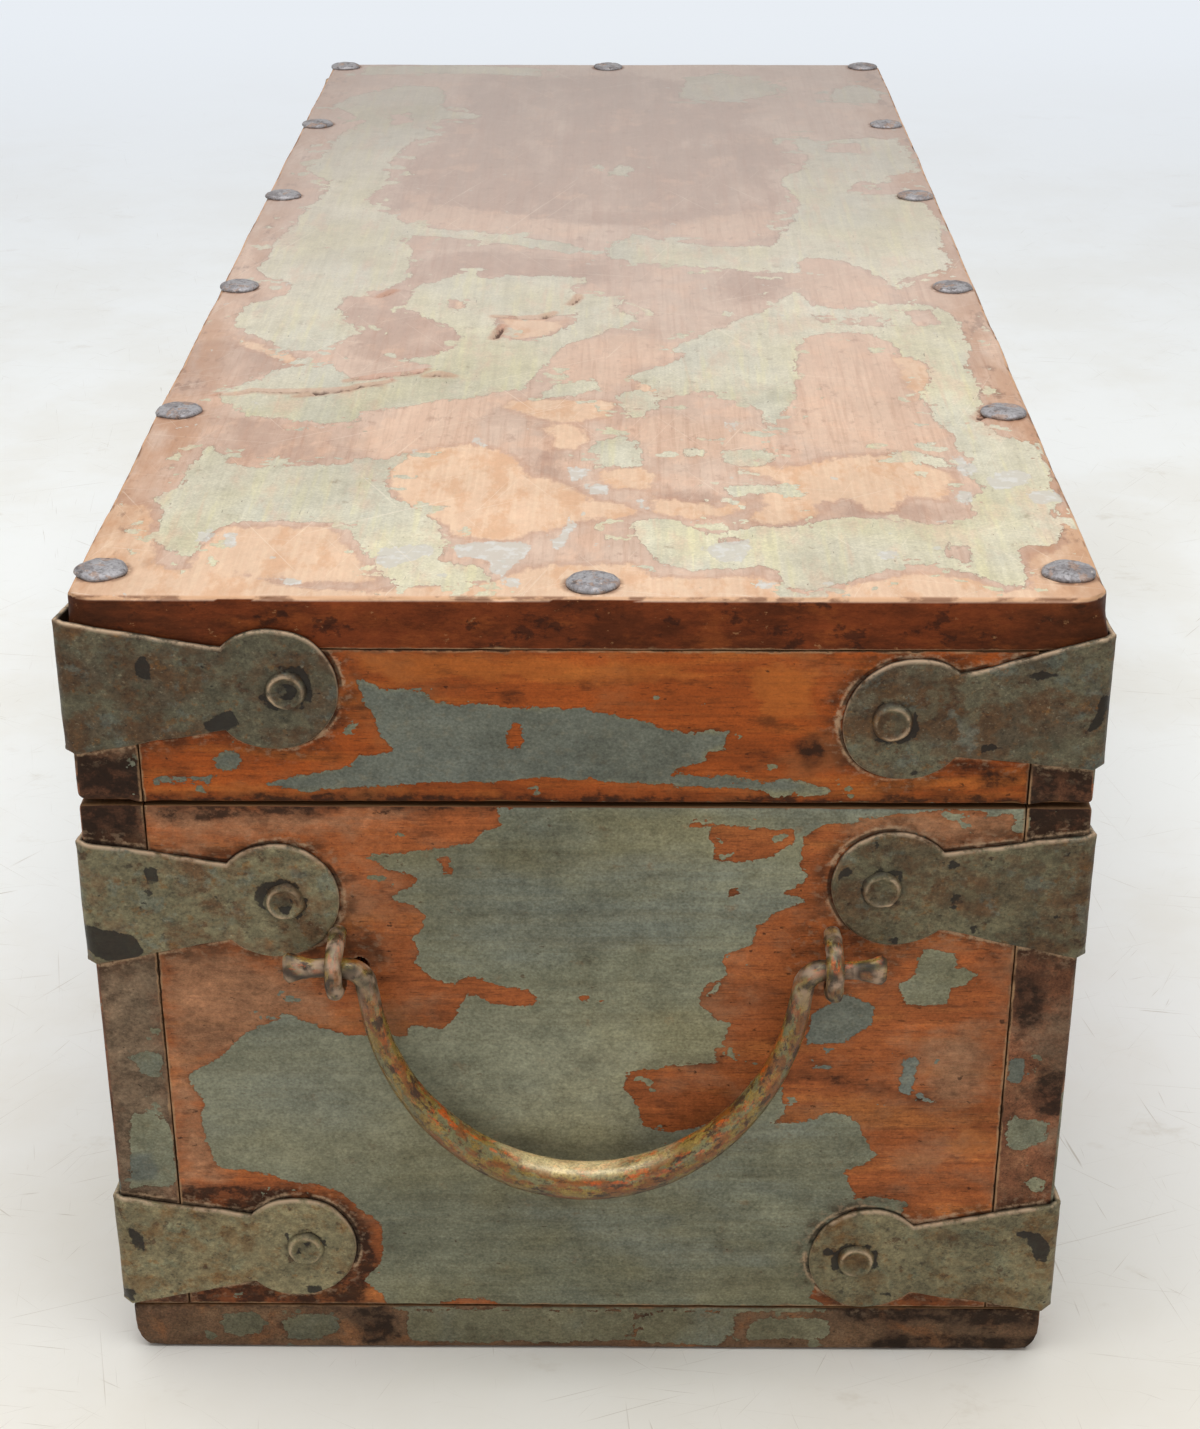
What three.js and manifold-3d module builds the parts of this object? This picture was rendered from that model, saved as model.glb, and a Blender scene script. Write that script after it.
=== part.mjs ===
// A carpenter's tool chest: a long box of pine boards with a hinged lid, sheet iron straps
// round its corners, a swinging bail handle on each end, two hinges at the back and a hasp
// at the front. Millimetres, +Z up. The origin is the middle of the base, on the floor.
// The near end faces -Y, the hinges are on the -X side and the hasp is on the +X side.

import * as THREE from 'three';
import { mergeVertices } from 'three/addons/utils/BufferGeometryUtils.js';
import Module from 'manifold-3d';

const wasm = await Module();
wasm.setup();

// Boards
const chestWidth = 230;
const chestLength = 560;
const wallThick = 15;
const wallHeight = 142.3;
const railHeight = 37.9;
const baseThick = 13.5;
const topThick = 12.7;
const baseSetBack = 0.8;
const baseRoundWidth = 6;
const baseRoundHeight = 9;
const topSetBackHinge = 1.5;
const topRound = 2.4;

// Clearances: between boards, under the lid, round shanks and under sheet iron, and the
// length by which a cutter runs past the face that it cuts.
const boardGap = 0.3;
const lidGap = 0.8;
const fitGap = 0.3;
const cutOverrun = 2;

// Corner straps
const strapThick = 1.4;
const strapCornerHeight = 32.8;
const strapNeckHeight = 20;
const strapDiscRadius = 14.7;
const strapReach = 44.6;

// Height of each row of straps at the corner: the lid's above the foot of its rails, the
// upper ones below the rim of the walls, the lower ones above the foot of the walls.
const lidStrapRiseHinge = 28.8;
const lidStrapRiseHasp = 25.7;
const upperStrapDropHinge = 25.6;
const upperStrapDropHasp = 22.9;
const lowerStrapRiseHinge = 17.3;
const lowerStrapRiseHasp = 16.2;

// Rivets and nails
const rivetHeadRadius = 4.1;
const rivetRingRadius = 3.3;
const rivetHeadRise = 1.9;
const rivetRingRise = 1.3;
const rivetDishRise = 1.2;
const rivetShankRadius = 2;
const rivetShankDepth = 12;
const nailHeadRadius = 6;
const nailCrownRadius = 4.2;
const nailEdgeRise = 1;
const nailHeadRise = 2.3;
const nailShankRadius = 1.8;
const nailShankLength = 38;
const lostNailRadius = 2.3;
const lostNailDepth = 9;
const lostNailDrop = 3.8;
const lostNailInset = 4.6;

// Bail handles
const handleDrop = 38.6;
const handleHalfSpan = 50.5;
const handleReach = 59.6;
const handleBend = 5;
const handleEar = 19;
const handleStandoff = 7.2;
const handleEndRadius = 2.8;
const handleGripRadius = 4.4;
const handleFlareHalfHeight = 4.4;
const handleFlareHalfDepth = 2.5;
const handleFlareLength = 7;
const stapleWireRadius = 2.3;
const stapleLegDepth = 12.5;
const stapleOffset = 6.9;
const stapleClearance = 0.5;

// Hinges
const hingeInset = 160;
const hingeWidth = 48;
const hingeNeck = 22;
const hingeLeafThick = 1.5;
const knuckleRadius = 3.9;
const knuckleGap = 0.4;
const hingePinRadius = 2.1;
const lidKnuckleLength = 16;
const lidLeafReach = 20.5;
const lidLeafDiscRadius = 10.5;
const bodyLeafReach = 32;
const bodyLeafDiscRadius = 13.5;
const hingeRivetInset = 7;
const hingeRivetDrop = 10;

// Hasp
const haspDrop = 18;
const haspWidth = 32;
const haspNeck = 21;
const haspKnuckleLength = 13;
const haspPlateReach = 23;
const haspPlateDiscRadius = 11.5;
const haspTipRadius = 13;
const haspTipReach = 4;
const haspSlotPlay = 1.3;
const haspStapleRise = 19;
const haspStapleHalfHeight = 7;
const haspStapleWireRadius = 2;
const haspStapleStraight = 6;
const haspRivetInset = 6.5;
const haspRivetDrop = 9.5;

// Levels from the floor up, and the half sizes that faces lie at
const halfWidth = chestWidth / 2;
const halfLength = chestLength / 2;
const wallFoot = baseThick + boardGap;
const wallTop = wallFoot + wallHeight;
const railFoot = wallTop + lidGap;
const railTop = railFoot + railHeight;
const topFoot = railTop + boardGap;
const lidTop = topFoot + topThick;
const handleHeight = wallTop - handleDrop;
const hingeHeight = wallTop + lidGap / 2;
const haspHeight = wallTop - haspDrop;
const haspStapleHeight = railFoot + haspStapleRise;

// Counts of sides and steps on round shapes
const shankSides = 8;
const headSides = 10;
const knuckleSides = 12;
const discSteps = 6;
const edgeSteps = 3;
const wireSides = 8;
const wireBendSteps = 6;
const gripSides = 8;
const gripSteps = 22;
const cornerSteps = 3;

// Nails sit unevenly: shares of the chest's length from its near end, and of its width
const sideNailShares = [0.025, 0.216, 0.418, 0.611, 0.8, 0.9875];
const endNailShare = 0.508;

// Each strap was cut and bent by hand: slope is the rise of its end arm, reachShare its
// share of the usual reach, rivetShare the place of its rivet along that reach.
const strapRows = {
  lid: {
    hinge: { height: railFoot + lidStrapRiseHinge, slope: 0, reachShare: 1.04, rivetShare: 1.06 },
    hasp: { height: railFoot + lidStrapRiseHasp, slope: -0.09, reachShare: 0.97, rivetShare: 1.08 },
  },
  upper: {
    hinge: { height: wallTop - upperStrapDropHinge, slope: 0.03, reachShare: 0.99, rivetShare: 1.04 },
    hasp: { height: wallTop - upperStrapDropHasp, slope: 0.05, reachShare: 0.99, rivetShare: 1.06 },
  },
  lower: {
    hinge: { height: wallFoot + lowerStrapRiseHinge, slope: 0.03, reachShare: 0.98, rivetShare: 1.04 },
    hasp: { height: wallFoot + lowerStrapRiseHasp, slope: -0.01, reachShare: 1.02, rivetShare: 1.06 },
  },
};

// The four corners: which side and end they stand on, and the turn that brings a strap,
// made for the near corner of the hinge side, round to them.
const corners = [
  { end: 'near', side: 'hinge', x: -1, y: -1, turn: 0 },
  { end: 'near', side: 'hasp', x: 1, y: -1, turn: Math.PI / 2 },
  { end: 'far', side: 'hasp', x: 1, y: 1, turn: Math.PI },
  { end: 'far', side: 'hinge', x: -1, y: 1, turn: -Math.PI / 2 },
];

const finishes = {
  topPine: { color: '#cfa783', roughness: 0.5, metalness: 0 },
  paintedPine: { color: '#7a7a62', roughness: 0.6, metalness: 0 },
  varnishedPine: { color: '#8a4d26', roughness: 0.5, metalness: 0 },
  bottomPine: { color: '#5d4030', roughness: 0.7, metalness: 0 },
  paintedIron: { color: '#55534a', roughness: 0.55, metalness: 0.3 },
  wornIron: { color: '#8a7a50', roughness: 0.4, metalness: 0.8 },
  darkIron: { color: '#5b5553', roughness: 0.5, metalness: 0.7 },
};

const outwardAxis = new THREE.Vector3(1, 0, 0);
const acrossAxis = new THREE.Vector3(0, 1, 0);
const upAxis = new THREE.Vector3(0, 0, 1);

function triangles(geometry) {
  const bare = new THREE.BufferGeometry();
  bare.setAttribute('position', geometry.getAttribute('position'));
  bare.setIndex(geometry.getIndex());
  const merged = mergeVertices(bare);
  const index = merged.getIndex().array;
  const kept = [];
  for (let i = 0; i < index.length; i += 3) {
    const [a, b, c] = [index[i], index[i + 1], index[i + 2]];
    if (a !== b && b !== c && c !== a) kept.push(a, b, c);
  }
  return { positions: merged.getAttribute('position').array, index: kept };
}

function solidOf(geometry) {
  const { positions, index } = triangles(geometry);
  const mesh = new wasm.Mesh({
    numProp: 3,
    vertProperties: new Float32Array(positions),
    triVerts: new Uint32Array(index),
  });
  return new wasm.Manifold(mesh);
}

function geometryOf(solid) {
  const mesh = solid.getMesh();
  const geometry = new THREE.BufferGeometry();
  geometry.setAttribute('position', new THREE.BufferAttribute(new Float32Array(mesh.vertProperties), 3));
  geometry.setIndex(new THREE.BufferAttribute(new Uint32Array(mesh.triVerts), 1));
  geometry.computeVertexNormals();
  return geometry;
}

function joined(geometries) {
  return geometries.map(solidOf).reduce((whole, piece) => whole.add(piece));
}

function placement(position, turn) {
  const spin = new THREE.Quaternion().setFromAxisAngle(upAxis, turn);
  return new THREE.Matrix4().compose(position, spin, new THREE.Vector3(1, 1, 1));
}

function named(name, geometry, finish, position = new THREE.Vector3(), turn = 0) {
  const mesh = new THREE.Mesh(geometry, new THREE.MeshStandardMaterial(finishes[finish]));
  mesh.name = name;
  mesh.position.copy(position);
  mesh.rotation.z = turn;
  return mesh;
}

// A bore is given by its mouth on the wood's face, the way it runs, its radius and depth.
function boreGeometry({ mouth, inward, radius, depth }) {
  const length = depth + cutOverrun;
  const cutter = new THREE.CylinderGeometry(radius, radius, length, shankSides);
  cutter.translate(0, length / 2 - cutOverrun, 0);
  cutter.applyQuaternion(new THREE.Quaternion().setFromUnitVectors(acrossAxis, inward));
  return cutter.translate(mouth.x, mouth.y, mouth.z);
}

function drilled(solid, bores, place) {
  const toLocal = place.clone().invert();
  return bores.reduce(
    (left, bore) => left.subtract(solidOf(boreGeometry(bore).applyMatrix4(toLocal))),
    solid,
  );
}

function along(axis, length) {
  return axis.clone().multiplyScalar(length);
}

// On a face of the chest, X points out of the wood, Y runs across and Z up. A plate's
// shape is drawn across and up, and gains its thickness outward from the given lift.
function facePlate(shape, lift, thick) {
  const plate = new THREE.ExtrudeGeometry(shape, {
    depth: thick,
    bevelEnabled: false,
    curveSegments: discSteps,
  });
  plate.applyMatrix4(new THREE.Matrix4().makeBasis(acrossAxis, upAxis, outwardAxis));
  return plate.translate(lift, 0, 0);
}

// Points on an arc of a circle, from one angle to another, both ends included
function arcPoints(across, up, radius, from, to, steps) {
  return Array.from({ length: steps + 1 }, (_, step) => {
    const angle = from + (to - from) * (step / steps);
    return new THREE.Vector2(across + radius * Math.cos(angle), up + radius * Math.sin(angle));
  });
}

function circlePath(across, up, radius) {
  return new THREE.Path(arcPoints(across, up, radius, 0, Math.PI * 2, headSides).slice(1));
}

// A plate that is broad at its root, narrows to a neck and ends in a disc. The root lies
// at `start` and the disc's centre at `reach`; up to `bend`, if given, the root keeps its
// full width. `lay` turns the distance from the root and the offset from the middle line
// into a point of the face.
function discPlateShape({ start, bend, reach, rootWidth, neckWidth, discRadius }, lay) {
  const neckAngle = Math.PI - Math.asin(Math.min(neckWidth / 2 / discRadius, 1));
  const disc = arcPoints(reach, 0, discRadius, neckAngle, -neckAngle, discSteps * 2);
  const outline = disc.map(({ x, y }) => lay(x, y));
  const root = bend === undefined ? [start] : [start, bend];
  const upper = root.map((from) => lay(from, rootWidth / 2));
  const lower = root.map((from) => lay(from, -rootWidth / 2)).reverse();
  return new THREE.Shape([...upper, ...outline, ...lower]);
}

// A rivet as it stands on a face: its shank in the wood, its head a raised ring round a
// shallow dish. `seat` is how far out of the wood the head's underside lies.
function rivetGeometry(seat) {
  const profile = [
    new THREE.Vector2(0, -rivetShankDepth),
    new THREE.Vector2(rivetShankRadius, -rivetShankDepth),
    new THREE.Vector2(rivetShankRadius, seat),
    new THREE.Vector2(rivetHeadRadius, seat),
    new THREE.Vector2(rivetHeadRadius, seat + rivetRingRise),
    new THREE.Vector2(rivetRingRadius, seat + rivetHeadRise),
    new THREE.Vector2(0, seat + rivetDishRise),
  ];
  const turned = new THREE.LatheGeometry(profile, shankSides, Math.PI / shankSides);
  return turned.rotateZ(-Math.PI / 2);
}

function rivetBore(mouth, inward) {
  const radius = rivetShankRadius + fitGap;
  return { mouth, inward, radius, depth: rivetShankDepth + fitGap };
}

// A round bar swept along a path in the face's outward and up plane. `halfSizes` gives
// the bar's half height in that plane and its half depth across it, at each point.
function sweptBar(path, halfSizes, sides) {
  const positions = [];
  const index = [];
  path.forEach((point, i) => {
    const before = path[Math.max(i - 1, 0)];
    const after = path[Math.min(i + 1, path.length - 1)];
    const tangent = after.clone().sub(before).normalize();
    const [height, depth] = halfSizes(i);
    for (let side = 0; side < sides; side += 1) {
      const angle = (side / sides) * Math.PI * 2;
      const off = height * Math.cos(angle);
      positions.push(point.x - tangent.y * off, depth * Math.sin(angle), point.y + tangent.x * off);
    }
  });
  for (let i = 0; i < path.length - 1; i += 1) {
    for (let side = 0; side < sides; side += 1) {
      const next = (side + 1) % sides;
      const [a, b] = [i * sides + side, i * sides + next];
      index.push(a, a + sides, b, b, a + sides, b + sides);
    }
  }
  const last = (path.length - 1) * sides;
  for (let side = 1; side < sides - 1; side += 1) {
    index.push(0, side, side + 1, last, last + side + 1, last + side);
  }
  const geometry = new THREE.BufferGeometry();
  geometry.setAttribute('position', new THREE.BufferAttribute(new Float32Array(positions), 3));
  geometry.setIndex(index);
  geometry.computeVertexNormals();
  return geometry;
}

// A wire staple on a face: two legs in the wood and a round bend outside it
function staplePath(halfHeight, straight, legDepth) {
  const path = [new THREE.Vector2(-legDepth, -halfHeight)];
  for (let step = 0; step <= wireBendSteps; step += 1) {
    const angle = (step / wireBendSteps - 1 / 2) * Math.PI;
    const out = straight + halfHeight * Math.cos(angle);
    path.push(new THREE.Vector2(out, halfHeight * Math.sin(angle)));
  }
  path.push(new THREE.Vector2(-legDepth, halfHeight));
  return path;
}

function stapleGeometry(halfHeight, straight, wireRadius) {
  const path = staplePath(halfHeight, straight, stapleLegDepth);
  return sweptBar(path, () => [wireRadius, wireRadius], wireSides);
}

function stapleBores(centre, inward, halfHeight, wireRadius) {
  return [-halfHeight, halfHeight].map((rise) => ({
    mouth: centre.clone().add(along(upAxis, rise)),
    inward,
    radius: wireRadius + fitGap,
    depth: stapleLegDepth + fitGap,
  }));
}

// Places shared by the hardware and by the boards it is driven into

const outwardOf = {
  near: new THREE.Vector3(0, -1, 0),
  far: new THREE.Vector3(0, 1, 0),
  hinge: new THREE.Vector3(-1, 0, 0),
  hasp: new THREE.Vector3(1, 0, 0),
};
const turnOf = { near: -Math.PI / 2, far: Math.PI / 2, hinge: Math.PI, hasp: 0 };
const inwardOf = (face) => along(outwardOf[face], -1);
const endSign = { near: -1, far: 1 };
const ends = ['near', 'far'];

function strapRivets(rowName, corner) {
  const row = strapRows[rowName][corner.side];
  const reach = strapReach * row.reachShare * row.rivetShare;
  const endAcross = corner.x * (halfWidth - reach);
  const sideAcross = corner.y * (halfLength - reach);
  return {
    end: new THREE.Vector3(endAcross, corner.y * halfLength, row.height + row.slope * reach),
    side: new THREE.Vector3(corner.x * halfWidth, sideAcross, row.height - row.slope * reach),
  };
}

function strapBores(rowNames, face) {
  const bores = [];
  for (const rowName of rowNames) {
    for (const corner of corners) {
      const rivets = strapRivets(rowName, corner);
      if (corner.end === face) bores.push(rivetBore(rivets.end, inwardOf(face)));
      if (corner.side === face) bores.push(rivetBore(rivets.side, inwardOf(face)));
    }
  }
  return bores;
}

const stapleHalfHeight = handleEndRadius + stapleClearance + stapleWireRadius;
const stapleAcross = handleHalfSpan + stapleOffset;

function handleStapleCentres(end) {
  const y = endSign[end] * halfLength;
  return {
    hinge: new THREE.Vector3(-stapleAcross, y, handleHeight),
    hasp: new THREE.Vector3(stapleAcross, y, handleHeight),
  };
}

function handleStapleBores(end) {
  const centres = Object.values(handleStapleCentres(end));
  return centres.flatMap((centre) => (
    stapleBores(centre, inwardOf(end), stapleHalfHeight, stapleWireRadius)
  ));
}

function hingeCentre(end) {
  return new THREE.Vector3(-halfWidth, endSign[end] * (halfLength - hingeInset), hingeHeight);
}

const haspCentre = new THREE.Vector3(halfWidth, 0, haspHeight);
const haspStapleCentre = new THREE.Vector3(halfWidth, 0, haspStapleHeight);

// A leaf's three rivets, across and up from the hinge's centre on the face: two at its
// broad root and one in its disc. `way` is 1 for a leaf that runs up and -1 down.
function leafRivets({ width, rivetInset, rivetDrop, reach }, way) {
  const across = width / 2 - rivetInset;
  return [[-across, way * rivetDrop], [across, way * rivetDrop], [0, way * reach]];
}

function leafBores(centre, face, leaf, way) {
  const acrossWay = new THREE.Vector3(0, outwardOf[face].x, 0);
  return leafRivets(leaf, way).map(([across, up]) => {
    const mouth = centre.clone().add(along(acrossWay, across)).add(along(upAxis, up));
    return rivetBore(mouth, inwardOf(face));
  });
}

const bodyLeaf = {
  width: hingeWidth,
  neck: hingeNeck,
  reach: bodyLeafReach,
  discRadius: bodyLeafDiscRadius,
  rivetInset: hingeRivetInset,
  rivetDrop: hingeRivetDrop,
  centreKnuckle: lidKnuckleLength,
};
const lidLeaf = { ...bodyLeaf, reach: lidLeafReach, discRadius: lidLeafDiscRadius };
const haspPlate = {
  width: haspWidth,
  neck: haspNeck,
  reach: haspPlateReach,
  discRadius: haspPlateDiscRadius,
  rivetInset: haspRivetInset,
  rivetDrop: haspRivetDrop,
  centreKnuckle: haspKnuckleLength,
};

// Nails driven down through the lid's top board into its rails
function topNailPlaces() {
  const railMiddle = halfWidth - wallThick / 2;
  const endMiddle = halfLength - wallThick / 2;
  const places = [];
  sideNailShares.forEach((share, i) => {
    const y = chestLength * share - halfLength;
    places.push({ name: `lid_nail_hinge_${i + 1}`, at: new THREE.Vector3(-railMiddle, y, lidTop) });
    places.push({ name: `lid_nail_hasp_${i + 1}`, at: new THREE.Vector3(railMiddle, y, lidTop) });
  });
  const endX = chestWidth * endNailShare - halfWidth;
  for (const end of ends) {
    const at = new THREE.Vector3(endX, endSign[end] * endMiddle, lidTop);
    places.push({ name: `lid_nail_${end}`, at });
  }
  return places;
}

const topNailBores = topNailPlaces().map(({ at }) => ({
  mouth: at,
  inward: along(upAxis, -1),
  radius: nailShankRadius + fitGap,
  depth: nailShankLength + fitGap,
}));

// Boards

function boxBoard(name, finish, size, centre, bores) {
  const blank = solidOf(new THREE.BoxGeometry(size.x, size.y, size.z));
  const board = drilled(blank, bores, placement(centre, 0));
  return named(name, geometryOf(board), finish, centre);
}

function lengthwiseBoard(shape) {
  const options = { depth: chestLength, bevelEnabled: false, curveSegments: edgeSteps };
  return new THREE.ExtrudeGeometry(shape, options).rotateX(Math.PI / 2).translate(0, halfLength, 0);
}

function bottomBoard() {
  const half = halfWidth - baseSetBack;
  const shape = new THREE.Shape();
  shape.moveTo(half, baseThick);
  shape.lineTo(-half, baseThick);
  shape.lineTo(-half, baseRoundHeight);
  const [roundX, roundZ] = [half - baseRoundWidth, baseRoundHeight];
  shape.absellipse(-roundX, roundZ, baseRoundWidth, baseRoundHeight, Math.PI, Math.PI * 3 / 2);
  shape.absellipse(roundX, roundZ, baseRoundWidth, baseRoundHeight, -Math.PI / 2, 0);
  return named('bottom_board', lengthwiseBoard(shape), 'bottomPine');
}

function topBoard() {
  const left = topSetBackHinge - halfWidth;
  const shape = new THREE.Shape();
  shape.moveTo(left, 0);
  shape.lineTo(halfWidth, 0);
  shape.absarc(halfWidth - topRound, topThick - topRound, topRound, 0, Math.PI / 2);
  shape.absarc(left + topRound, topThick - topRound, topRound, Math.PI / 2, Math.PI);
  const centre = new THREE.Vector3(0, 0, topFoot);
  const board = drilled(solidOf(lengthwiseBoard(shape)), topNailBores, placement(centre, 0));
  return named('lid_top_board', geometryOf(board), 'topPine', centre);
}

function sideBoard(side) {
  const size = new THREE.Vector3(wallThick, chestLength, wallHeight);
  const x = outwardOf[side].x * (halfWidth - wallThick / 2);
  const hardware = side === 'hinge'
    ? ends.flatMap((end) => leafBores(hingeCentre(end), side, bodyLeaf, -1))
    : leafBores(haspCentre, side, haspPlate, -1);
  const bores = [...strapBores(['upper', 'lower'], side), ...hardware];
  const centre = new THREE.Vector3(x, 0, wallFoot + wallHeight / 2);
  return boxBoard(`${side}_side_board`, 'varnishedPine', size, centre, bores);
}

function lidSideRail(side) {
  const size = new THREE.Vector3(wallThick, chestLength, railHeight);
  const x = outwardOf[side].x * (halfWidth - wallThick / 2);
  const hardware = side === 'hinge'
    ? ends.flatMap((end) => leafBores(hingeCentre(end), side, lidLeaf, 1))
    : stapleBores(haspStapleCentre, inwardOf(side), haspStapleHalfHeight, haspStapleWireRadius);
  const bores = [...strapBores(['lid'], side), ...hardware, ...topNailBores];
  const centre = new THREE.Vector3(x, 0, railFoot + railHeight / 2);
  return boxBoard(`lid_${side}_rail`, 'varnishedPine', size, centre, bores);
}

const endBoardWidth = chestWidth - 2 * wallThick - 2 * boardGap;

// The hole that a lost nail left beside the near handle's staple
const lostNailBore = {
  mouth: new THREE.Vector3(lostNailInset - stapleAcross, -halfLength, handleHeight - lostNailDrop),
  inward: inwardOf('near'),
  radius: lostNailRadius,
  depth: lostNailDepth,
};

function endBoard(end) {
  const size = new THREE.Vector3(endBoardWidth, wallThick, wallHeight);
  const y = endSign[end] * (halfLength - wallThick / 2);
  const bores = [...strapBores(['upper', 'lower'], end), ...handleStapleBores(end)];
  if (end === 'near') bores.push(lostNailBore);
  const centre = new THREE.Vector3(0, y, wallFoot + wallHeight / 2);
  return boxBoard(`${end}_end_board`, 'paintedPine', size, centre, bores);
}

function lidEndRail(end) {
  const size = new THREE.Vector3(endBoardWidth, wallThick, railHeight);
  const y = endSign[end] * (halfLength - wallThick / 2);
  const bores = [...strapBores(['lid'], end), ...topNailBores];
  const centre = new THREE.Vector3(0, y, railFoot + railHeight / 2);
  return boxBoard(`lid_${end}_rail`, 'varnishedPine', size, centre, bores);
}

// Corner straps

function strapArm(row, way, slope, rivetHole) {
  const outer = fitGap + strapThick;
  const reach = strapReach * row.reachShare;
  const plate = {
    start: -outer,
    bend: 0,
    reach,
    rootWidth: strapCornerHeight,
    neckWidth: strapNeckHeight,
    discRadius: strapDiscRadius,
  };
  const lay = (from, off) => new THREE.Vector2(way * from, off + slope * Math.max(from, 0));
  const shape = discPlateShape(plate, lay);
  const { x, y } = lay(reach * row.rivetShare, 0);
  if (rivetHole) {
    shape.holes.push(circlePath(x, y, rivetShankRadius + fitGap));
    return [facePlate(shape, fitGap, strapThick)];
  }
  return [facePlate(shape, fitGap, strapThick), rivetGeometry(outer).translate(0, x, y)];
}

function cornerStrap(rowName, corner) {
  const row = strapRows[rowName][corner.side];
  const endArmFirst = corner.x * corner.y > 0;
  const slope = endArmFirst ? row.slope : -row.slope;
  const looseRivet = corner.end === 'near';
  const firstArm = strapArm(row, 1, slope, looseRivet && endArmFirst);
  const secondArm = strapArm(row, -1, -slope, looseRivet && !endArmFirst);
  const pieces = [
    ...firstArm.map((piece) => piece.rotateZ(-Math.PI / 2)),
    ...secondArm.map((piece) => piece.rotateZ(Math.PI)),
  ];
  const position = new THREE.Vector3(corner.x * halfWidth, corner.y * halfLength, row.height);
  const place = placement(position, corner.turn);
  const legs = rowName === 'upper' ? handleStapleBores(corner.end) : [];
  const strap = drilled(joined(pieces), legs, place);
  const name = `${rowName}_strap_${corner.end}_${corner.side}`;
  return named(name, geometryOf(strap), 'paintedIron', position, corner.turn);
}

function looseRivet(rowName, corner) {
  const seat = fitGap + strapThick + fitGap;
  const name = `${rowName}_rivet_${corner.end}_${corner.side}`;
  const { end } = strapRivets(rowName, corner);
  return named(name, rivetGeometry(seat), 'paintedIron', end, turnOf[corner.end]);
}

// Lid nails

function topNail({ name, at }) {
  const profile = [
    new THREE.Vector2(0, -nailShankLength),
    new THREE.Vector2(nailShankRadius, -nailShankLength),
    new THREE.Vector2(nailShankRadius, fitGap),
    new THREE.Vector2(nailHeadRadius, fitGap),
    new THREE.Vector2(nailHeadRadius, nailEdgeRise),
    new THREE.Vector2(nailCrownRadius, nailHeadRise),
    new THREE.Vector2(0, nailHeadRise),
  ];
  const nail = new THREE.LatheGeometry(profile, headSides).rotateX(Math.PI / 2);
  return named(name, nail, 'darkIron', at);
}

// Bail handles: half an ellipse hanging from two ears that turn outward through staples

function handlePath() {
  const earTip = handleHalfSpan + handleEar;
  const half = [
    new THREE.Vector2(earTip, 0),
    new THREE.Vector2(earTip - handleFlareLength / 2, 0),
    new THREE.Vector2(earTip - handleFlareLength, 0),
  ];
  for (let step = 0; step <= cornerSteps; step += 1) {
    const angle = (1 + step / cornerSteps) * Math.PI / 2;
    const x = handleHalfSpan + handleBend + handleBend * Math.cos(angle);
    half.push(new THREE.Vector2(x, handleBend * Math.sin(angle) - handleBend));
  }
  const first = Math.asin(handleBend / handleReach);
  for (let step = 1; step <= gripSteps / 2; step += 1) {
    const angle = first + (Math.PI / 2 - first) * (step / (gripSteps / 2));
    half.push(new THREE.Vector2(handleHalfSpan * Math.cos(angle), -handleReach * Math.sin(angle)));
  }
  const other = half.slice(0, -1).reverse().map((point) => new THREE.Vector2(-point.x, point.y));
  return [...half, ...other];
}

function handleGeometry() {
  const path = handlePath();
  const halfSizes = (i) => {
    const fromEnd = Math.min(i, path.length - 1 - i);
    if (fromEnd === 0) return [handleFlareHalfHeight, handleFlareHalfDepth];
    if (fromEnd === 1) return [(handleFlareHalfHeight + handleEndRadius) / 2, handleEndRadius];
    const hang = Math.min(-path[i].y / handleReach, 1);
    const radius = handleEndRadius + (handleGripRadius - handleEndRadius) * hang ** 2;
    return [radius, radius];
  };
  return sweptBar(path, halfSizes, gripSides);
}

function bailHandle(end) {
  const y = endSign[end] * (halfLength + handleStandoff);
  const position = new THREE.Vector3(0, y, handleHeight);
  const turn = end === 'near' ? 0 : Math.PI;
  return named(`${end}_handle`, handleGeometry(), 'wornIron', position, turn);
}

function handleStaples(end) {
  const centres = Object.entries(handleStapleCentres(end));
  return centres.map(([side, centre]) => {
    const geometry = stapleGeometry(stapleHalfHeight, handleStandoff, stapleWireRadius);
    return named(`${end}_staple_${side}`, geometry, 'wornIron', centre, turnOf[end]);
  });
}

// Hinges and hasp: leaves whose knuckles turn on a pin that lies outside the wood

const pinOut = fitGap + knuckleRadius;

function knuckle(from, to) {
  const barrel = new THREE.CylinderGeometry(knuckleRadius, knuckleRadius, to - from, knuckleSides);
  return barrel.translate(pinOut, (from + to) / 2, 0);
}

function pinBore(length) {
  const radius = hingePinRadius + fitGap;
  const cutter = new THREE.CylinderGeometry(radius, radius, length + 2 * cutOverrun, knuckleSides);
  return solidOf(cutter.translate(pinOut, 0, 0));
}

function knuckleRoot(from, to, way) {
  const reach = knuckleRadius + knuckleGap + fitGap;
  const root = new THREE.BoxGeometry(hingeLeafThick, to - from, reach);
  return root.translate(fitGap + hingeLeafThick / 2, (from + to) / 2, way * reach / 2);
}

function leafPlate({ width, neck, reach, discRadius }, way, holes = []) {
  const start = knuckleRadius + knuckleGap;
  const plate = { start, reach, rootWidth: width, neckWidth: neck, discRadius };
  const shape = discPlateShape(plate, (from, off) => new THREE.Vector2(off, way * from));
  shape.holes.push(...holes);
  return facePlate(shape, fitGap, hingeLeafThick);
}

// Stretches along the pin: a fixed leaf has a knuckle at each side, a moving one between
function outerKnuckles({ width, centreKnuckle }) {
  const inner = centreKnuckle / 2 + knuckleGap;
  return [[-width / 2, -inner], [inner, width / 2]];
}

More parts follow.
